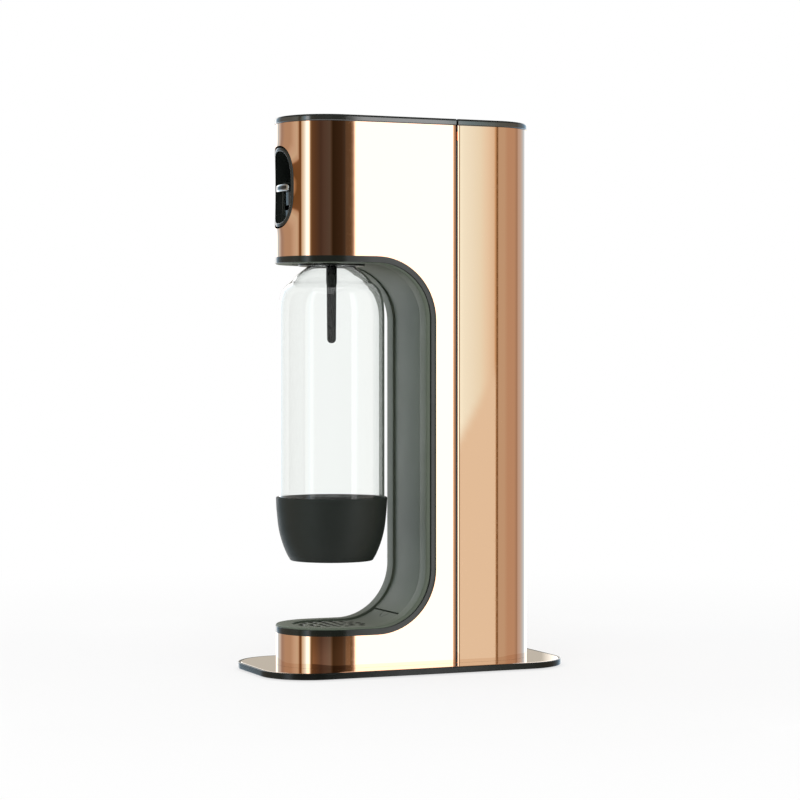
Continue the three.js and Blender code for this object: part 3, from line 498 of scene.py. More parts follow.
def polishSkin(mesh, edge, centreY, step=0.1, leastFacing=0.95, margin=0.001):
    # the corners of faces on the curved wall or its edge take the exact normal there, and a face
    # that faces another way keeps its own
    corner = readAll(mesh.loops, "vertex_index", 1, int)[:, 0]
    sizes = readAll(mesh.polygons, "loop_total", 1, int)[:, 0]
    places = readAll(mesh.vertices, "co")[corner] / mm
    flat = np.repeat(readAll(mesh.polygons, "normal"), sizes, 0)
    centre = np.repeat(readAll(mesh.polygons, "center"), sizes, 0) / mm
    x, y, z = places.T
    out = unit(stacked(x, y - np.clip(y, plan["frontY"], plan["rearY"]), 0))
    along = stacked(-out[:, 1], out[:, 0])
    ahead, behind = (riseAt(x + sign * step * along[:, 0], z) for sign in (1, -1))
    above, below = (riseAt(x, z + sign * step) for sign in (1, -1))
    inFront = (y < plan["frontY"]) / (2 * step)
    wall = out.copy()
    wall[:, :2] -= along * ((ahead - behind) * inFront)[:, None]
    wall[:, 2] -= (above - below) * inFront
    forward, width = np.sign(edge["seam"] - centreY), edge["width"]
    share = np.clip(forward * (y - edge["seam"]) / width + 1, 0, 1)
    slope = np.radians(edge["start"] + (edge["end"] - edge["start"]) * share)
    turned = stacked(np.sign(x) * np.cos(slope), forward * np.sin(slope), 0)
    inEdge = forward * (centre[:, 1] - edge["seam"]) + width > margin
    true = np.where(inEdge[:, None], turned, unit(wall))
    facing = (flat * true).sum(1)[:, None]
    normal = np.where(np.abs(facing) > leastFacing, true * np.sign(facing), flat)
    mesh.normals_split_custom_set(normal.tolist())


# The bay is a C seen from the side, open to the front; its two halves meet at the middle

bay = {"top": 330, "column": 13, "bottom": 32, "corner": 50}
lip = {"top": 325, "column": 5, "bottom": 37.8, "corner": 44.5}
panel = {"top": 325.5, "column": 6.5, "bottom": 37, "corner": 45}
bayMiddle = 181


def lowerHalf(shape, frontY, steps, startZ=bayMiddle):
    # down the column, round the lower corner and forward along the floor: each row is a place in
    # the side view and the direction into the bay
    corner = shape["corner"]
    centreY, centreZ = shape["column"] - corner, shape["bottom"] + corner
    turn = np.linspace(0, pi / 2, steps + 1)
    down = np.linspace(startZ, centreZ, steps, endpoint=False)
    forward = np.linspace(centreY, frontY, steps + 1)[1:]
    y, z = centreY + corner * np.cos(turn), centreZ - corner * np.sin(turn)
    return np.concatenate([
        stacked(shape["column"], down, -1, 0), stacked(y, z, -np.cos(turn), np.sin(turn)),
        stacked(forward, shape["bottom"], 0, 1),
    ])


def upperHalf(shape, frontY, steps):
    # the same up to the head: the lower half of the shape turned over
    flip = {**shape, "bottom": -shape["top"]}
    return lowerHalf(flip, frontY, steps, -bayMiddle) * [1, -1, 1, -1]


def sweptBay(shape, section, steps=18, frontSteps=64):
    # a section of distance sideways and depth into the bay, carried down one side, round the front
    # under the bottle, up the other side and round the head
    halves = (half(shape, plan["frontY"], steps) for half in (lowerHalf, upperHalf))
    low, high = (stacked(*half.T, 1, 0) for half in halves)
    turn = np.linspace(0, pi, frontSteps, endpoint=False)[1:]
    y, ahead, otherSide = plan["frontY"], -np.sin(turn), [1, 1, 1, 1, -1, 1]
    y, z, inY, inZ, outX, outY = np.concatenate([
        low, stacked(y, shape["bottom"], 0, 1, np.cos(turn), ahead), low[::-1] * otherSide,
        high[1:] * otherSide, stacked(y, shape["top"], 0, -1, -np.cos(turn), ahead), high[:0:-1],
    ]).T[..., None]
    sideways, depth = np.asarray(section, float).T
    return stacked(outX * sideways, y + outY * sideways + inY * depth, z + inZ * depth)


def sideCurve(shape, frontY, steps=24):
    # the whole C in the side view, from the front of the floor to that of the head
    low, high = lowerHalf(shape, frontY, steps), upperHalf(shape, frontY, steps)
    return np.concatenate([low[::-1], high[1:]])


def prism(name, axis, ends, outline):
    # a closed outline in the two other directions, carried along the axis
    points = np.empty((2, len(outline[0]), 3))
    points[..., axis] = np.reshape(ends, (2, 1))
    first, second = (direction for direction in range(3) if direction != axis)
    points[..., first], points[..., second] = outline
    return shell(name, points, closeColumns=True)


def makeFrontSkin():
    values = frontSkin
    levels = [plan["bottom"], *values["low"], *np.linspace(*values["head"]), plan["top"]]
    path = edgedPath(frontEdge, plan["frontY"], values["arcSteps"])
    solid = skinSolid("front_skin", path, levels)
    half, front = values["bayHalf"], values["cutFront"]
    bayPrism = prism("bayPrism", 0, (-half, half), sideCurve(bay, front).T[:2])
    outline = ovalLine(-oval["clear"], values["ovalSteps"])
    ovalPrism = prism("ovalPrism", 1, (front, values["ovalBack"]), outline)
    mesh = cutMesh(solid, [bayPrism, ovalPrism])
    polishSkin(mesh, frontEdge, plan["frontY"])
    addPiece(mesh, "copperSkin", "housing", "copper_skin", "body_shell")


def makeRearSkin():
    levels = [plan["bottom"], *rearSkin["levels"], plan["top"]]
    path = edgedPath(rearEdge, plan["rearY"], rearSkin["arcSteps"])
    solid = skinSolid("rear_skin", path, levels)
    polishSkin(solid, rearEdge, plan["rearY"])
    addPiece(solid, "copperSkin", "rear_cover", "copper_skin", "rear_shell")


def makeSeamShades():
    # a dark strip behind the seam on both sides: painted shade for the gap between the skins
    near, far, start, end = take(seamShade, "near far from to")
    for name, side in (("seam_shade_right", 1), ("seam_shade_left", -1)):
        outline = side * np.array([near, far, far, near]), np.array([start, start, end, end])
        mesh = prism(name, 2, (seamShade["low"], seamShade["high"]), outline)
        addPiece(mesh, "blackRubber", "housing", "rubber", "body_shell")


makeFrontSkin()
makeRearSkin()
makeSeamShades()
print("skins made")

# Caps on the skins

cap = {
    "radius": 41.6, "low": 436.4, "high": 441.4, "lid": 2.5, "skirtOut": 39.7, "skirtIn": 37.7,
    "skirtLow": 431.3, "round": 1.9, "foot": 0.5, "steps": 9,
}


def makeCap(name, seam, centreY, body, replaced):
    # a lid with a rounded edge and a skirt inside the skin
    radius, low, high, edge, foot = take(cap, "radius low high round foot")
    skirtOut, skirtIn, skirtLow, lid = take(cap, "skirtOut skirtIn skirtLow lid")
    turn = np.linspace(0, pi / 2, cap["steps"])
    bead = stacked(radius - edge + edge * np.sin(turn), high - edge + edge * np.cos(turn))
    section = np.concatenate([[[0, high]], bead, [
        [radius, low + foot], [radius - foot, low], [skirtOut, low], [skirtOut, skirtLow],
        [skirtIn, skirtLow], [skirtIn, high - lid], [0, high - lid],
    ]])
    mesh = shell(name, sweptPlan(planPath(seam, centreY), section))
    addPiece(mesh, "capPlastic", body, "dark_plastic", replaced)


makeCap("front_lid", plan["capFront"], plan["frontY"], "housing", "top_cap")
makeCap("rear_lid", plan["capRear"], plan["rearY"], "rear_cover", "rear_cap")

# Edging of the bay, and the liner inside it

trim = {
    "out": 41.4, "lap": 41.02, "in": 38, "over": -0.6, "near": 0.3, "far": 4.5,
    "rounds": [0.15, 0.7, 0.3, 0.3, 0.1, 0.1],
}
liner = {"out": 41.0, "in": 28, "thick": 3.2, "rounds": [0.2, 1.3, 0.35, 0.2]}
# The panel has a foot on both sides, a hole for the lock ring, and ends at the reach inside the lip
linerPanel = {
    "half": 27.3, "thick": 2.4, "foot": 0.9, "rounds": [0.35, 0.35] + [0.1] * 6, "frontY": -100.5,
    "steps": 36, "hole": 27, "holeLow": 310, "holeHigh": 345, "reach": 37.5, "seam": 20, "low": 20,
    "high": 335,
}
tray = {
    "rearY": -11.5, "rearGap": 0.7, "half": 26.9, "thick": 2.2, "drop": 0.6, "round": 0.4,
    "steps": (48, 30), "holeRadius": 3.1, "holeEdge": 0.6, "holeSides": 24, "drillReach": 6,
    "ringStep": 8.2, "rings": 3, "ringCount": 6, "rimSteps": 5, "topSteps": 12,
}
fingerMark = {"radius": 6.5, "width": 0.6, "low": -0.5, "high": 6}
# Black sleeves in the drain holes are painted shade, so that each hole reads dark
shadeSleeve = {"deep": 2, "top": 0.06, "slope": 0.3, "gap": 0.01}


def makeEdging():
    out, lap, inner, over, near, far = take(trim, "out lap in over near far")
    section = roundedLoop([
        (out, over), (out, far), (inner, far), (inner, near), (lap, near), (lap, over),
    ], trim["rounds"])
    mesh = shell("bay_edging", sweptBay(bay, section), True, True)
    addPiece(mesh, "trimBlack", "housing", "gloss_black", "edge_trim")
    out, inner, low = liner["out"], liner["in"], -liner["thick"]
    section = roundedLoop([(out, low), (out, 0), (inner, 0), (inner, low)], liner["rounds"])
    mesh = shell("liner_lips", sweptBay(lip, section), True, True)
    addPiece(mesh, "greyPlastic", "housing", "grey_plastic", "inner_liner")


def panelHeight(y):
    # the floor is level, then climbs the lower corner's arc
    corner = panel["corner"]
    over = np.maximum(y - panel["column"] + corner, 0)
    return panel["bottom"] + corner - np.sqrt(corner ** 2 - over ** 2)


def makePanel():
    # a section carried along the side view from the tray's rear edge up and forward to the head
    values, rearY = linerPanel, tray["rearY"]
    curve = sideCurve(panel, values["frontY"], values["steps"])
    keep = (curve[:, 0] > rearY) | (curve[:, 1] > bayMiddle)
    startZ, corner = panelHeight(rearY), panel["corner"]
    into = (panel["column"] - corner - rearY) / corner, (panel["bottom"] + corner - startZ) / corner
    y, z, inY, inZ = np.concatenate([[(rearY, startZ, *into)], curve[keep]]).T[..., None]
    half, low, wide = values["half"], -values["thick"], values["half"] + values["foot"]
    section = roundedLoop([
        (-half, 0), (half, 0), (half, low / 2), (wide, low / 2), (wide, low), (-wide, low),
        (-wide, low / 2), (-half, low / 2),
    ], values["rounds"], steps=4)
    across, depth = section.T
    points = stacked(across, y + inY * depth, z + inZ * depth)
    mesh = shell("liner_panel", points, closeColumns=True)
    hole = rod(*take(values, "hole holeLow holeHigh"), bottleAxis)
    mesh = cutMesh(mesh, [meshOf("ringHole", [hole])])
    reach = values["reach"]
    section = [(reach, values["low"]), (reach, values["high"])]
    outline = sweptPlan(planPath(values["seam"], plan["frontY"]), section)
    within = shell("withinPlan", outline, closeRows=True)
    mesh = cutMesh(mesh, [within], "INTERSECT")
    addPiece(mesh, "greyPlastic", "housing", "grey_plastic", "inner_liner")


def trayHoles():
    # one in the middle and rings of them round it
    x, y = bottleAxis
    holes = [bottleAxis]
    for number in range(1, tray["rings"] + 1):
        turn = np.linspace(0, 2 * pi, tray["ringCount"] * number, endpoint=False)
        radius = tray["ringStep"] * number
        holes += zip(x + radius * np.cos(turn), y + radius * np.sin(turn))
    return holes


def makeTrayPlate():
    # half strips beside the middle line and a fan round the front, lifted to the panel
    rearY, half, edge, low = tray["rearY"], tray["half"], tray["round"], -tray["thick"]
    path = planPath(rearY - tray["rearGap"], plan["frontY"], *tray["steps"])
    turn = np.linspace(0, pi / 2, tray["rimSteps"])
    rim = stacked(half - edge + edge * np.sin(turn), -edge + edge * np.cos(turn))
    top = stacked(np.linspace(0, half - edge, tray["topSteps"], endpoint=False), 0)
    points = sweptPlan(path, np.concatenate([top, rim, [[half, low], [0, low]]]))
    points[..., 2] += panelHeight(points[..., 1]) - tray["drop"]
    mesh = shell("tray_plate", points)
    radius, sides, holes = tray["holeRadius"], tray["holeSides"], trayHoles()
    zTop = panel["bottom"] - tray["drop"]
    ends = zTop - tray["drillReach"], zTop + tray["drillReach"]
    drills = meshOf("drills", [rod(radius, *ends, place, sides) for place in holes])
    outer, width, low, high = take(fingerMark, "radius width low high")
    inner = outer - width
    groove = [(inner, low), (outer, low), (outer, high), (inner, high)]
    places, faces = closedLathe(groove, (0, rearY), sides=64)
    places[:, 2] += panelHeight(places[:, 1]) - tray["drop"]
    mesh = cutMesh(mesh, [drills, meshOf("fingerMark", [(places, faces)])])
    # black sleeves inside the holes: painted shade that makes each hole read dark
    bore, outer = radius - tray["holeEdge"], radius - shadeSleeve["gap"]
    low, high = zTop - shadeSleeve["deep"], zTop - shadeSleeve["top"]
    profile = [(bore, low), (outer, low), (outer, high), (bore, high - shadeSleeve["slope"])]
    shadeSleeves = meshOf("hole_shade_sleeves", [closedLathe(profile, place, sides) for place in holes])
    addPiece(shadeSleeves, "glossBlack", "tray", "gloss_black", "drip_grille")
    addPiece(mesh, "greyPlastic", "tray", "grey_plastic", "drip_grille")


makeEdging()
makePanel()
makeTrayPlate()
print("bay made")

# Lever: ring, dish with a slot, shutter behind it, and the tip with a dark pad of painted
# reflection on its face; fronts and backs are radii round the front centre

ring = {
    "width": 3.1, "back": 38.5, "face": 41.55, "slope": 0.3, "inner": 40.8, "heel": 1.2,
    "rounds": [0.3, 1.6, 0.6, 0.2, 0.3], "lower": 0.9,
}
slot = {"half": 4.8, "low": 367.6, "high": 389.5, "power": 8}
dishFloor = {
    "bend": 34.3, "flatY": -93, "flatZ": 384, "flatSoft": 6, "pocket": 13, "pocketZ": 391,
    "pocketSoft": 3,
}
dish = {
    "rim": 40.9, "overlap": 0.1, "wall": 0.4, "fillet": 3, "steps": [0.2, 0.4, 0.6, 0.8, 1],
    "filletSteps": 8, "backInset": 1, "backOutset": 1.2, "backRise": 2, "backRim": 39.4,
}
shutter = {"half": 7, "low": 371.6, "high": 383.5, "front": 33.7, "back": 33.4, "steps": 29}
tip = {"half": 13.7, "low": 382.3, "high": 387.9, "front": 40.3, "back": 37.5, "round": 1.3}
# A dark pad on the tip's face is painted reflection: the dark mirror image of the chrome face
tipReflectionPad = {"half": 11.6, "low": 383.7, "high": 386.5, "front": 40.5, "back": 39.4, "round": 0.35}
barSteps = {"end": 12, "straight": 20, "corner": 6}


def onSkin(x, z, radius):
    # a front view's points laid on an upright cylinder round the front centre
    return stacked(x, plan["frontY"] - np.sqrt(radius ** 2 - x ** 2), z)


def makeOvalRing():
    # a little lower than the opening in the skin
    width, back, face, slope, inner, heel = take(ring, "width back face slope inner heel")
    amount, radius = roundedLoop([
        (0, back), (0, face), (width, face - slope), (width, inner), (width - heel, back),
    ], ring["rounds"]).T[..., None]
    middle, share = oval["centreZ"], 1 - ring["lower"] / oval["halfHeight"]
    x, z = ovalLine(amount)
    rows = onSkin(x, middle + (z - middle) * share, radius)
    mesh = shell("oval_ring", rows, True, True)
    addPiece(mesh, "ringPlastic", "housing", "grey_plastic", "lever_bezel")


def floorRow(x, z, away=0.0):
    # below the tip the floor bends like the skin, and above it lies deeper
    values = dishFloor
    low = plan["frontY"] - np.sqrt(values["bend"] ** 2 - x ** 2)
    pocket = values["pocket"] * smoothStep((z - values["pocketZ"]) / values["pocketSoft"])
    share = smoothStep((z - values["flatZ"]) / values["flatSoft"])
    return stacked(x, low + (values["flatY"] + pocket - low) * share + away, z)


def makeOvalDish():
    # closed lines from the ring along the wall, over a fillet to the floor and the slot, then back
    # behind the floor
    fillet, wall, steps = take(dish, "fillet wall steps")
    start = ring["width"] - dish["overlap"]
    rows = [onSkin(*ovalLine(start), dish["rim"])]
    for angle in np.linspace(0, pi / 2, dish["filletSteps"]):
        x, z = ovalLine(start + fillet * (1 - np.cos(angle)))
        rows.append(floorRow(x, z, -fillet * (1 - np.sin(angle))))
    slotX, slotZ = superellipse(slot["power"], len(x))
    slotX = slot["half"] * slotX
    slotZ = (slot["low"] + slot["high"]) / 2 + (slot["high"] - slot["low"]) / 2 * slotZ
    for away, parts in ((0, steps), (wall, steps[::-1])):
        rows += [floorRow(x + (slotX - x) * part, z + (slotZ - z) * part, away) for part in parts]
    rows.append(floorRow(*ovalLine(start + dish["backInset"]), wall))
    x, z = ovalLine(start - dish["backOutset"])
    rows += [floorRow(x, z, wall - dish["backRise"]), onSkin(x, z, dish["backRim"])]
    mesh = shell("lever_dish", np.stack(rows), True, True)
    addPiece(mesh, "dishBlack", "housing", "gloss_black", "lever_recess")


def makeTipBar(name, bar, finish, slotName):
    # a bar bent like the skin, with round ends
    middle, half = (bar["low"] + bar["high"]) / 2, (bar["high"] - bar["low"]) / 2
    straight = bar["half"] - half
    end = half * np.sin(np.linspace(0, pi / 2, barSteps["end"]))
    between = np.linspace(-straight, straight, barSteps["straight"])[1:-1]
    x = np.concatenate([-straight - end[::-1], between, straight + end])[:, None]
    beyond = np.maximum(np.abs(x) - straight, 0)
    size = np.sqrt(np.maximum(half ** 2 - beyond ** 2, 0)) / half
    deep, deepHalf = (bar["front"] + bar["back"]) / 2, (bar["front"] - bar["back"]) / 2
    depth, height = roundedLoop([
        (-deepHalf, -half), (deepHalf, -half), (deepHalf, half), (-deepHalf, half),
    ], bar["round"], barSteps["corner"]).T
    rows = onSkin(x, middle + height * size, deep + depth * np.sqrt(size))
    mesh = shell(name, rows, closeColumns=True)
    addPiece(mesh, finish, "lever", slotName, "lever_tip")


def makeShutter():
    # a bent strip behind the dish that closes the slot below the tip
    half, low, high, front, back = take(shutter, "half low high front back")
    x = np.linspace(-half, half, shutter["steps"])[:, None]
    rows = onSkin(x, np.array([low, high, high, low]), np.array([front, front, back, back]))
    mesh = shell("slot_shutter", rows, closeColumns=True)
    addPiece(mesh, "dishBlack", "lever", "gloss_black", "lever_tip")


makeOvalRing()
makeOvalDish()
makeTipBar("lever_tip_bar", tip, "chromeTrim", "chrome_trim")
# the dark pad paints the chrome face's dark reflection
makeTipBar("lever_tip_reflection_pad", tipReflectionPad, "glossBlack", "gloss_black")
makeShutter()
print("lever made")

# Bottle, its cup, and what it hangs from: radii and heights from the middle line out

bottle = {
    "floor": [(0, 89.8), (30, 89.8)], "side": (42.4, 200), "neck": 15.5, "neckLow": 326.5,
    "mouth": 338, "wall": 1.5, "bore": 13, "boreLow": 324.6, "lipRound": 0.4,
    "innerFloor": [(0, 93), (28.5, 93)], "skip": 4, "sides": 144,
    "shoulder": [
        (42.4, 285), (41.7, 295.7), (39.6, 303.5), (36.5, 307.9), (32.3, 311.3), (27.9, 316.5),
        (21.8, 321.3), (17.4, 324.8),
    ],
    "foot": [(30.7, 90.4), (34, 94.1), (37.45, 103), (40.25, 114.2), (41.85, 128.6), (42.4, 139)],
}
cup = {
    "bottom": [(0, 88.5), (32.8, 88.5)],
    "outside": [
        (33.4, 89), (34.3, 90.6), (36.2, 94.1), (39.7, 103), (42.5, 114.2), (44.1, 128.6),
        (44.65, 138.3),
    ],
    "rim": [(44.3, 139), (43.1, 139)], "wall": 1.95, "insideFrom": 89.9,
    "floor": [(30.6, 89.5), (0, 89.5)],
}
lockRing = {
    "corners": [
        (20.8, 323.6), (26.7, 323.6), (26.7, 327.2), (21, 327.2), (21, 337.5), (16.2, 337.5),
        (16.2, 328),
    ],
    "rounds": [0.4, 0.8, 0.4, 0.3, 0.3, 0.3, 0.5], "sides": 128,
}
nozzle = {
    "tipRadius": 3.6, "openAngle": 0.35, "low": 262, "steps": 10, "sides": 64,
    "upper": [(3.95, 309.4), (4.2, 309.9), (4.35, 310.4), (4.35, 341.2), (1.2, 341.2), (1.2, 264)],
}


def makeBottle():
    # up the outside, and down the inside, which skips the curves' ends that the floor and bore take
    wall, neck, bore, mouth, edge, skip = take(bottle, "wall neck bore mouth lipRound skip")
    radius, middle = bottle["side"]
    low, high = smoothCurve(bottle["foot"], steps=6), smoothCurve(bottle["shoulder"])
    outer = np.concatenate([
        bottle["floor"], low, [bottle["side"]], high,
        [[neck, bottle["neckLow"]], [neck, mouth - edge], [neck - edge, mouth]],
    ])
    inner = np.concatenate([
        bottle["innerFloor"], (low - [wall, 0])[skip:], [[radius - wall, middle]],
        (high - [wall, wall / 2])[:-skip],
        [[bore, bottle["boreLow"]], [bore, mouth - edge], [bore + edge, mouth]],
    ])
    profile = np.concatenate([outer, inner[::-1]])
    mesh = meshOf("clear_bottle", [lathe(profile, bottleAxis, bottle["sides"])])
    addPiece(mesh, "clearBottle", "bottle", "clear_bottle", "bottle_body", "bottle_neck")


def makeCup():
    outside = smoothCurve(cup["outside"], steps=6)
    inside = outside - [cup["wall"], 0]
    inside = inside[inside[:, 1] > cup["insideFrom"]]
    parts = [cup["bottom"], outside, cup["rim"], inside[::-1], cup["floor"]]
    mesh = meshOf("base_cup", [lathe(np.concatenate(parts), bottleAxis, bottle["sides"])])
    addPiece(mesh, "softCup", "bottle", "cup_plastic", "bottle_cup")


def makeLockRing():
    profile = roundedLoop(lockRing["corners"], lockRing["rounds"])
    mesh = meshOf("turning_ring", [closedLathe(profile, bottleAxis, lockRing["sides"])])
    addPiece(mesh, "darkPlastic", "lock", "dark_plastic", "lock_ring")


def makeNozzle():
    radius, start, low, steps, sides = take(nozzle, "tipRadius openAngle low steps sides")
    turn = np.linspace(start, pi / 2, steps)
    rounded = stacked(radius * np.sin(turn), low + radius * (1 - np.cos(turn)))
    profile = np.concatenate([rounded, nozzle["upper"]])
    mesh = meshOf("nozzle", [closedLathe(profile, bottleAxis, sides)])
    addPiece(mesh, "nozzleBlack", "housing", "gloss_black", "nozzle_tube")


makeBottle()
makeCup()
makeLockRing()
makeNozzle()
print("bottle made")

# Base

base = {
    "halfX": 64.3, "halfY": 129, "corner": 41, "low": 1.0, "high": 6.0, "rim": 2.2, "floor": 4.3,
    "inwards": 3, "rounds": [0.8, 1.0, 0.5, 0.1, 0.1, 0.1],
}
plate = {
    "edge": 2.5, "low": 5.0, "high": 6.0, "bevel": [(0, 0.4), (0.12, 0.12), (0.4, 0), (0.7, 0)],
}


def basePath(steps=24):
    # the corner's centre and the direction out from it, once round the plate
    turn = np.linspace(0, pi / 2, steps + 1)
    turns = np.concatenate([turn + quarter * pi / 2 for quarter in range(4)])
    x, y = base["halfX"] - base["corner"], base["halfY"] - base["corner"]
    signX, signY = np.repeat([1, -1, -1, 1], steps + 1), np.repeat([1, 1, -1, -1], steps + 1)
    return stacked(signX * x, signY * y, 0, np.cos(turns), np.sin(turns), 0)


def makeBase():
    # up outside, over the rim and down to the floor; the fill closes floor and underside
    out, low, high, bottom = take(base, "corner low high floor")
    inner = out - base["rim"]
    deep, steps = inner - base["inwards"], 5
    corners = [(out, low), (out, high), (inner, high), (inner, bottom), (deep, bottom), (deep, low)]
    section = roundedLoop(corners, base["rounds"], steps)[:-steps]
    mesh = shell("base_tray", sweptPlan(basePath(), section), closeRows=True)
    tub = addPiece(mesh, "darkPlastic", "housing", "dark_plastic", "base_pan")
    tub.visible_glossy = False  # its rim draws no dark line in the foot of the polished skins
    edge = base["corner"] - plate["edge"]
    bevel = [(edge - inwards, plate["high"] - down) for inwards, down in plate["bevel"]]
    points = sweptPlan(basePath(), [(edge, plate["low"]), *bevel])
    mesh = shell("copper_plate", points, closeRows=True)
    addPiece(mesh, "copperPlate", "housing", "copper_plate", "base_plate")


makeBase()
print("base made")

# Gas cylinder

cylinder = {
    "bottom": [(0, 27.5), (20, 26), (25, 24)],
    "foot": [(27.5, 24.4), (29.6, 27), (30, 31)],
    "shoulder": [(30, 316), (28.6, 327), (24, 337.5), (17.5, 345), (12.5, 348)],
    "neck": [(12.5, 357.6), (12.1, 358), (0, 358)],
}


def makeCylinder():
    foot = smoothCurve(cylinder["foot"], steps=4)
    shoulder = smoothCurve(cylinder["shoulder"], steps=6)
    outer = np.concatenate([cylinder["bottom"], foot, shoulder, cylinder["neck"]])
    mesh = meshOf("gas_bottle", [lathe(outer, cylinderAxis)])
    addPiece(mesh, "paintedCylinder", "cylinder", "gas_cylinder", "gas_cylinder")


makeCylinder()

# The nodes that keep their shape take these finishes, by the start of their names

nodeLooks = {
    "blackRubber": ("foot_pad", "bottle_seal", "cylinder_gasket", "gas_hose"),
    "turnedSteel": (
        "base_screw", "lever_arm", "lever_axle", "return_spring", "relief_spring", "valve_pin",
        "valve_plunger",
    ),
    "innerPlastic": (
        "chassis", "head_deck", "cover_hook", "lever_bracket", "spring_post", "mixing_head",
        "cylinder_cradle",
    ),
    "darkPlastic": ("nozzle_nut", "drip_basin"),
    "brassFitting": (
        "relief_body", "relief_cap", "relief_poppet", "cylinder_valve", "regulator_block",
        "hose_fitting",
    ),
}
for nodeName, node in cadNodes.items():
    for finishName, starts in nodeLooks.items():
        if nodeName.startswith(starts):
            for materialSlot in node.material_slots:
                materialSlot.material = look[finishName]
print("nodes finished")

# Studio: floor, a soft lamp, and the surroundings that only polished faces see

studio = {
    "floorSize": 12, "floorFinish": {"Base Color": (0.86, 0.86, 0.86, 1), "Roughness": 0.9},
    "floorFade": {"From Min": 0.2, "From Max": 1.0, "To Min": 0.7, "To Max": 1.0},
    "lampPlace": (0.6, -0.6, 1.8), "lampTarget": (0, 0, 0.2), "lampSize": 1.6, "lampEnergy": 14,
    "worldDiffuse": 0.8,
}
# The wall's points are close where the colours change fast; from start to end of the ceiling it
# darkens to least
tent = {
    "radius": 420, "high": 900, "roofRadii": (250, 100, 0.5), "ceiling": (520, 680, 0.03),
    "ceilingSteps": 7, "azimuths": [(-180, 10, 0.5), (10, 34, 0.04), (34, 180, 0.5)],
    "heights": [-400, -200, -60, *range(-40, 20, 15), 60, 100, *range(130, 290, 10), 350, 450],
}
# What polished faces see: direction in degrees from the right-hand side, brightness, and the red
# and blue as shares of it
surroundings = [
    (-180, 0.55, 1.05, 0.88), (-177, 0.55, 1.05, 0.88), (-174, 2.4, 1, 1), (-160, 2.4, 1, 1),
    (-151, 1.01, 0.69, 1.25), (-145, 0.78, 0.76, 1.17), (-140, 0.79, 0.86, 1.1),
    (-135, 0.5, 0.98, 1.02), (-130, 0.34, 1.15, 0.91), (-119, 0.42, 1.19, 0.79),
    (-104, 0.42, 1.19, 0.79), (-99, 0.5, 1.13, 0.82), (-95, 0.57, 1.09, 0.86), (-88, 0.65, 1, 0.85),
    (-84.6, 0.45, 1.16, 0.79), (-83.4, 0.12, 1.67, 0.5), (-79.4, 0.1, 1.7, 0.4),
    (-78.2, 0.65, 1, 0.88), (-77.6, 0.73, 0.96, 0.86), (-73.6, 1.11, 0.82, 1.02),
    (-70, 1.6, 0.69, 1.25), (-68.5, 2.4, 1, 1), (-64.5, 2.4, 1, 1), (-62, 1.03, 0.83, 1.05),
    (-61, 0.3, 1.15, 0.7), (-60, 0.2, 1.25, 0.55), (-58, 0.09, 1.55, 0.55), (-52, 0.07, 1.57, 0.57),
    (-41, 0.05, 1.4, 0.8), (-35, 0.07, 1.29, 0.86), (-23, 0.09, 1.11, 0.89), (-17, 0.02, 1.5, 0.5),
    (2, 0.03, 1.5, 0.6), (10, 0.05, 1.2, 0.8), (12.1, 0.1, 1.4, 0.6), (12.38, 0.3, 1.2, 0.8),
    (12.5, 0.69, 1.01, 0.93), (12.75, 2.6, 1, 1), (25.6, 2.6, 1, 1), (26.2, 1.5, 0.73, 1.06),
    (26.8, 1.37, 0.74, 1.05), (27.8, 1.28, 0.76, 1.03), (28.9, 1.18, 0.79, 0.98),
    (29.9, 1, 0.9, 0.92), (30.7, 0.835, 0.97, 0.87), (30.96, 0.35, 1.4, 0.55),
    (31.06, 0.11, 1.6, 0.45), (31.17, 0.11, 1.6, 0.45), (31.25, 0.39, 1.15, 0.74),
    (33, 0.53, 1.11, 0.8), (45, 0.53, 1.11, 0.8), (50, 0.47, 1.19, 0.78), (54, 0.43, 1.26, 0.76),
    (70, 0.43, 1.26, 0.76), (76, 0.35, 1.25, 0.78), (78.5, 0.305, 1.25, 0.79), (80, 0.45, 1.1, 0.9),
    (81, 0.53, 1.06, 0.96), (88, 0.6, 0.97, 1.03), (96, 0.75, 0.79, 1.21), (101, 0.87, 0.69, 1.3),
    (107, 1.15, 0.64, 1.37), (113, 1.9, 0.8, 1.15), (117, 2.4, 1, 1), (134, 2.4, 1, 1),
    (138, 0.55, 1.05, 0.88), (180, 0.55, 1.05, 0.88),
]
# Below a slanting edge the card beside the rear cover is dull, and the dark front of the room is
# lighter near the ground
slant = {
    "from": 25.9, "to": 30.9, "lowZ": 170, "highZ": 238, "soft": 26, "colour": (0.87, 0.93, 0.84),
}
nearGround = {"from": -58, "to": 12, "z": 5, "soft": 40, "gain": 1.1}


def tentColour(azimuth, height):
    places, *columns = np.transpose(surroundings)
    bright, red, blue = (np.interp(azimuth, places, column) for column in columns)
    inside = (azimuth > nearGround["from"]) & (azimuth < nearGround["to"])
    low = smoothStep((nearGround["z"] - height) / nearGround["soft"])
    bright = bright * (1 + nearGround["gain"] * inside * low)
    colour = stacked(bright * red, bright, bright * blue)
    span = (azimuth - slant["from"]) / (slant["to"] - slant["from"])
    edge = slant["lowZ"] + (slant["highZ"] - slant["lowZ"]) * span
    below = smoothStep((edge - height) / slant["soft"] + 0.5) * ((span > 0) & (span < 1))
    colour = colour + (slant["colour"] - colour) * below[..., None]
    start, end, least = tent["ceiling"]
    return colour + (least - colour) * smoothStep((height - start) / (end - start))[..., None]


def newMaterial(name):
    material = bpy.data.materials.new(name)
    material.use_nodes = True
    # it lights the object through the rays that meet it, not as a lamp
    material.cycles.emission_sampling = "NONE"
    return material


def addToStage(mesh, material, hiddenRays):
    mesh.materials.append(material)
    thing = addObject(mesh.name, mesh)
    for ray in hiddenRays:
        setattr(thing, "visible_" + ray, False)


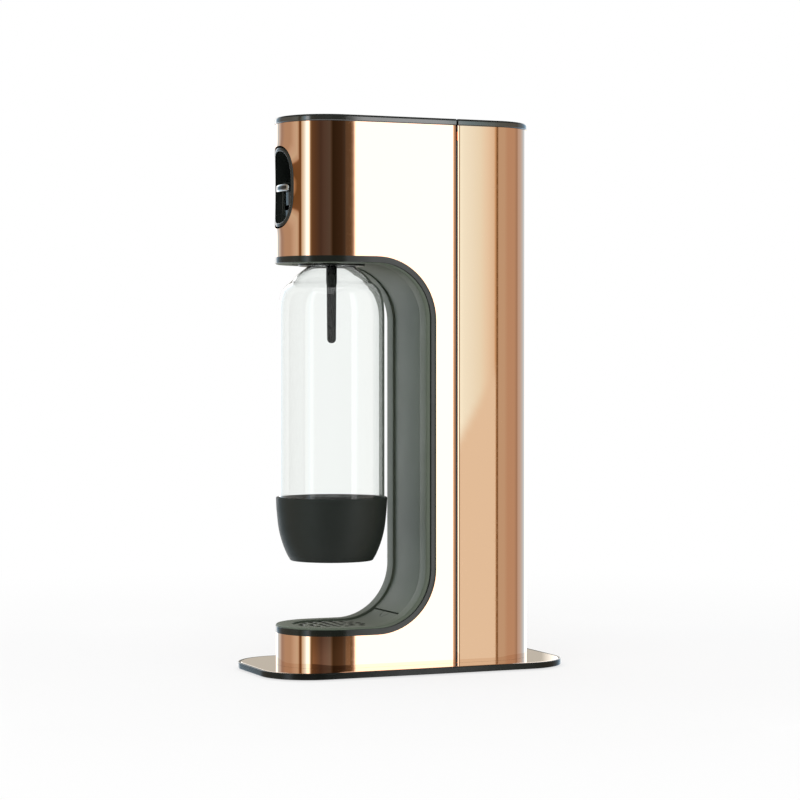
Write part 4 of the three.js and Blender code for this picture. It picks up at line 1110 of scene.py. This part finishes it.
def makeTent():
    # a circle at several heights, and a roof of rings that shrink to the middle
    azimuths = np.concatenate([np.arange(*span) for span in tent["azimuths"]])
    turn = np.radians(azimuths)
    radius, high, steps, (start, end, least) = take(tent, "radius high ceilingSteps ceiling")
    x, y = np.cos(turn), np.sin(turn)
    heights = np.concatenate([tent["heights"], np.linspace(start, end, steps), [high]])
    wall = stacked(radius * x, radius * y, heights[:, None])
    roof = np.stack([stacked(r * x, r * y, high) for r in (radius, *tent["roofRadii"])])
    mesh = rawMesh("surroundings", [patch(points, closeColumns=True) for points in (wall, roof)])
    wallColour = tentColour(azimuths, heights[:, None])
    colours = np.concatenate([wallColour.reshape(-1, 3), np.full((roof.size // 3, 3), least)])
    layer = mesh.color_attributes.new("glow", "FLOAT_COLOR", "POINT")
    layer.data.foreach_set("color", stacked(*colours.T, 1).ravel())
    material = newMaterial("surroundings")
    tree = material.node_tree
    tree.nodes.remove(tree.nodes["Principled BSDF"])
    colour = addNode(tree, "Attribute", attribute_name="glow").outputs["Color"]
    glow = addNode(tree, "Emission", {"Color": colour}).outputs["Emission"]
    setInputs(tree, tree.nodes["Material Output"], {"Surface": glow})
    addToStage(mesh, material, ["camera", "diffuse", "transmission", "volume_scatter", "shadow"])


def seenShare(tree):
    # one for camera, glossy and transmission rays, nought for those that light the object
    rays = addNode(tree, "LightPath").outputs
    last = rays["Is Camera Ray"]
    for other in ("Is Glossy Ray", "Is Transmission Ray"):
        most = addNode(tree, "Math", {0: last, 1: rays[other]}, operation="MAXIMUM")
        last = most.outputs["Value"]
    return last


def makeFloor():
    # diffuse, to take the shadow, under a white glow that grows to all of it farther out
    half = studio["floorSize"] / 2
    mesh = bpy.data.meshes.new("floor")
    corners = [(-half, -half, 0), (half, -half, 0), (half, half, 0), (-half, half, 0)]
    mesh.from_pydata(corners, [], [(0, 1, 2, 3)])
    material = newMaterial("floor")
    tree = material.node_tree
    shader = tree.nodes["Principled BSDF"]
    setInputs(tree, shader, studio["floorFinish"])
    place = addNode(tree, "TexCoord").outputs["Object"]
    length = addNode(tree, "VectorMath", {0: place}, operation="LENGTH").outputs["Value"]
    inputs = {"Value": length, **studio["floorFade"]}
    fade = addNode(tree, "MapRange", inputs, interpolation_type="SMOOTHSTEP").outputs["Result"]
    share = addNode(tree, "Math", {0: fade, 1: seenShare(tree)}, operation="MULTIPLY")
    glow = addNode(tree, "Emission").outputs["Emission"]
    inputs = {"Fac": share.outputs["Value"], 1: shader.outputs["BSDF"], 2: glow}
    mix = addNode(tree, "MixShader", inputs).outputs["Shader"]
    setInputs(tree, tree.nodes["Material Output"], {"Surface": mix})
    addToStage(mesh, material, ["glossy"])  # the surroundings go on below it for polished faces


def makeWorld():
    world = bpy.data.worlds.new("studio")
    bpy.context.scene.world = world
    world.use_nodes = True
    tree = world.node_tree
    tree.nodes.clear()
    inputs = {"Value": seenShare(tree), "To Min": studio["worldDiffuse"], "To Max": 1}
    strength = addNode(tree, "MapRange", inputs).outputs["Result"]
    background = addNode(tree, "Background", {"Color": (1, 1, 1, 1), "Strength": strength})
    addNode(tree, "OutputWorld", {"Surface": background.outputs["Background"]})


def makeLamp():
    lamp = addObject("lampAbove", bpy.data.lights.new("lampAbove", "AREA"))
    lamp.data.shape, lamp.data.size = "SQUARE", studio["lampSize"]
    lamp.data.energy = studio["lampEnergy"]
    lamp.location = studio["lampPlace"]
    aim(lamp, Vector(studio["lampTarget"]) - lamp.location)
    lamp.visible_glossy = False


makeTent()
makeFloor()
makeWorld()
makeLamp()
print("studio made")
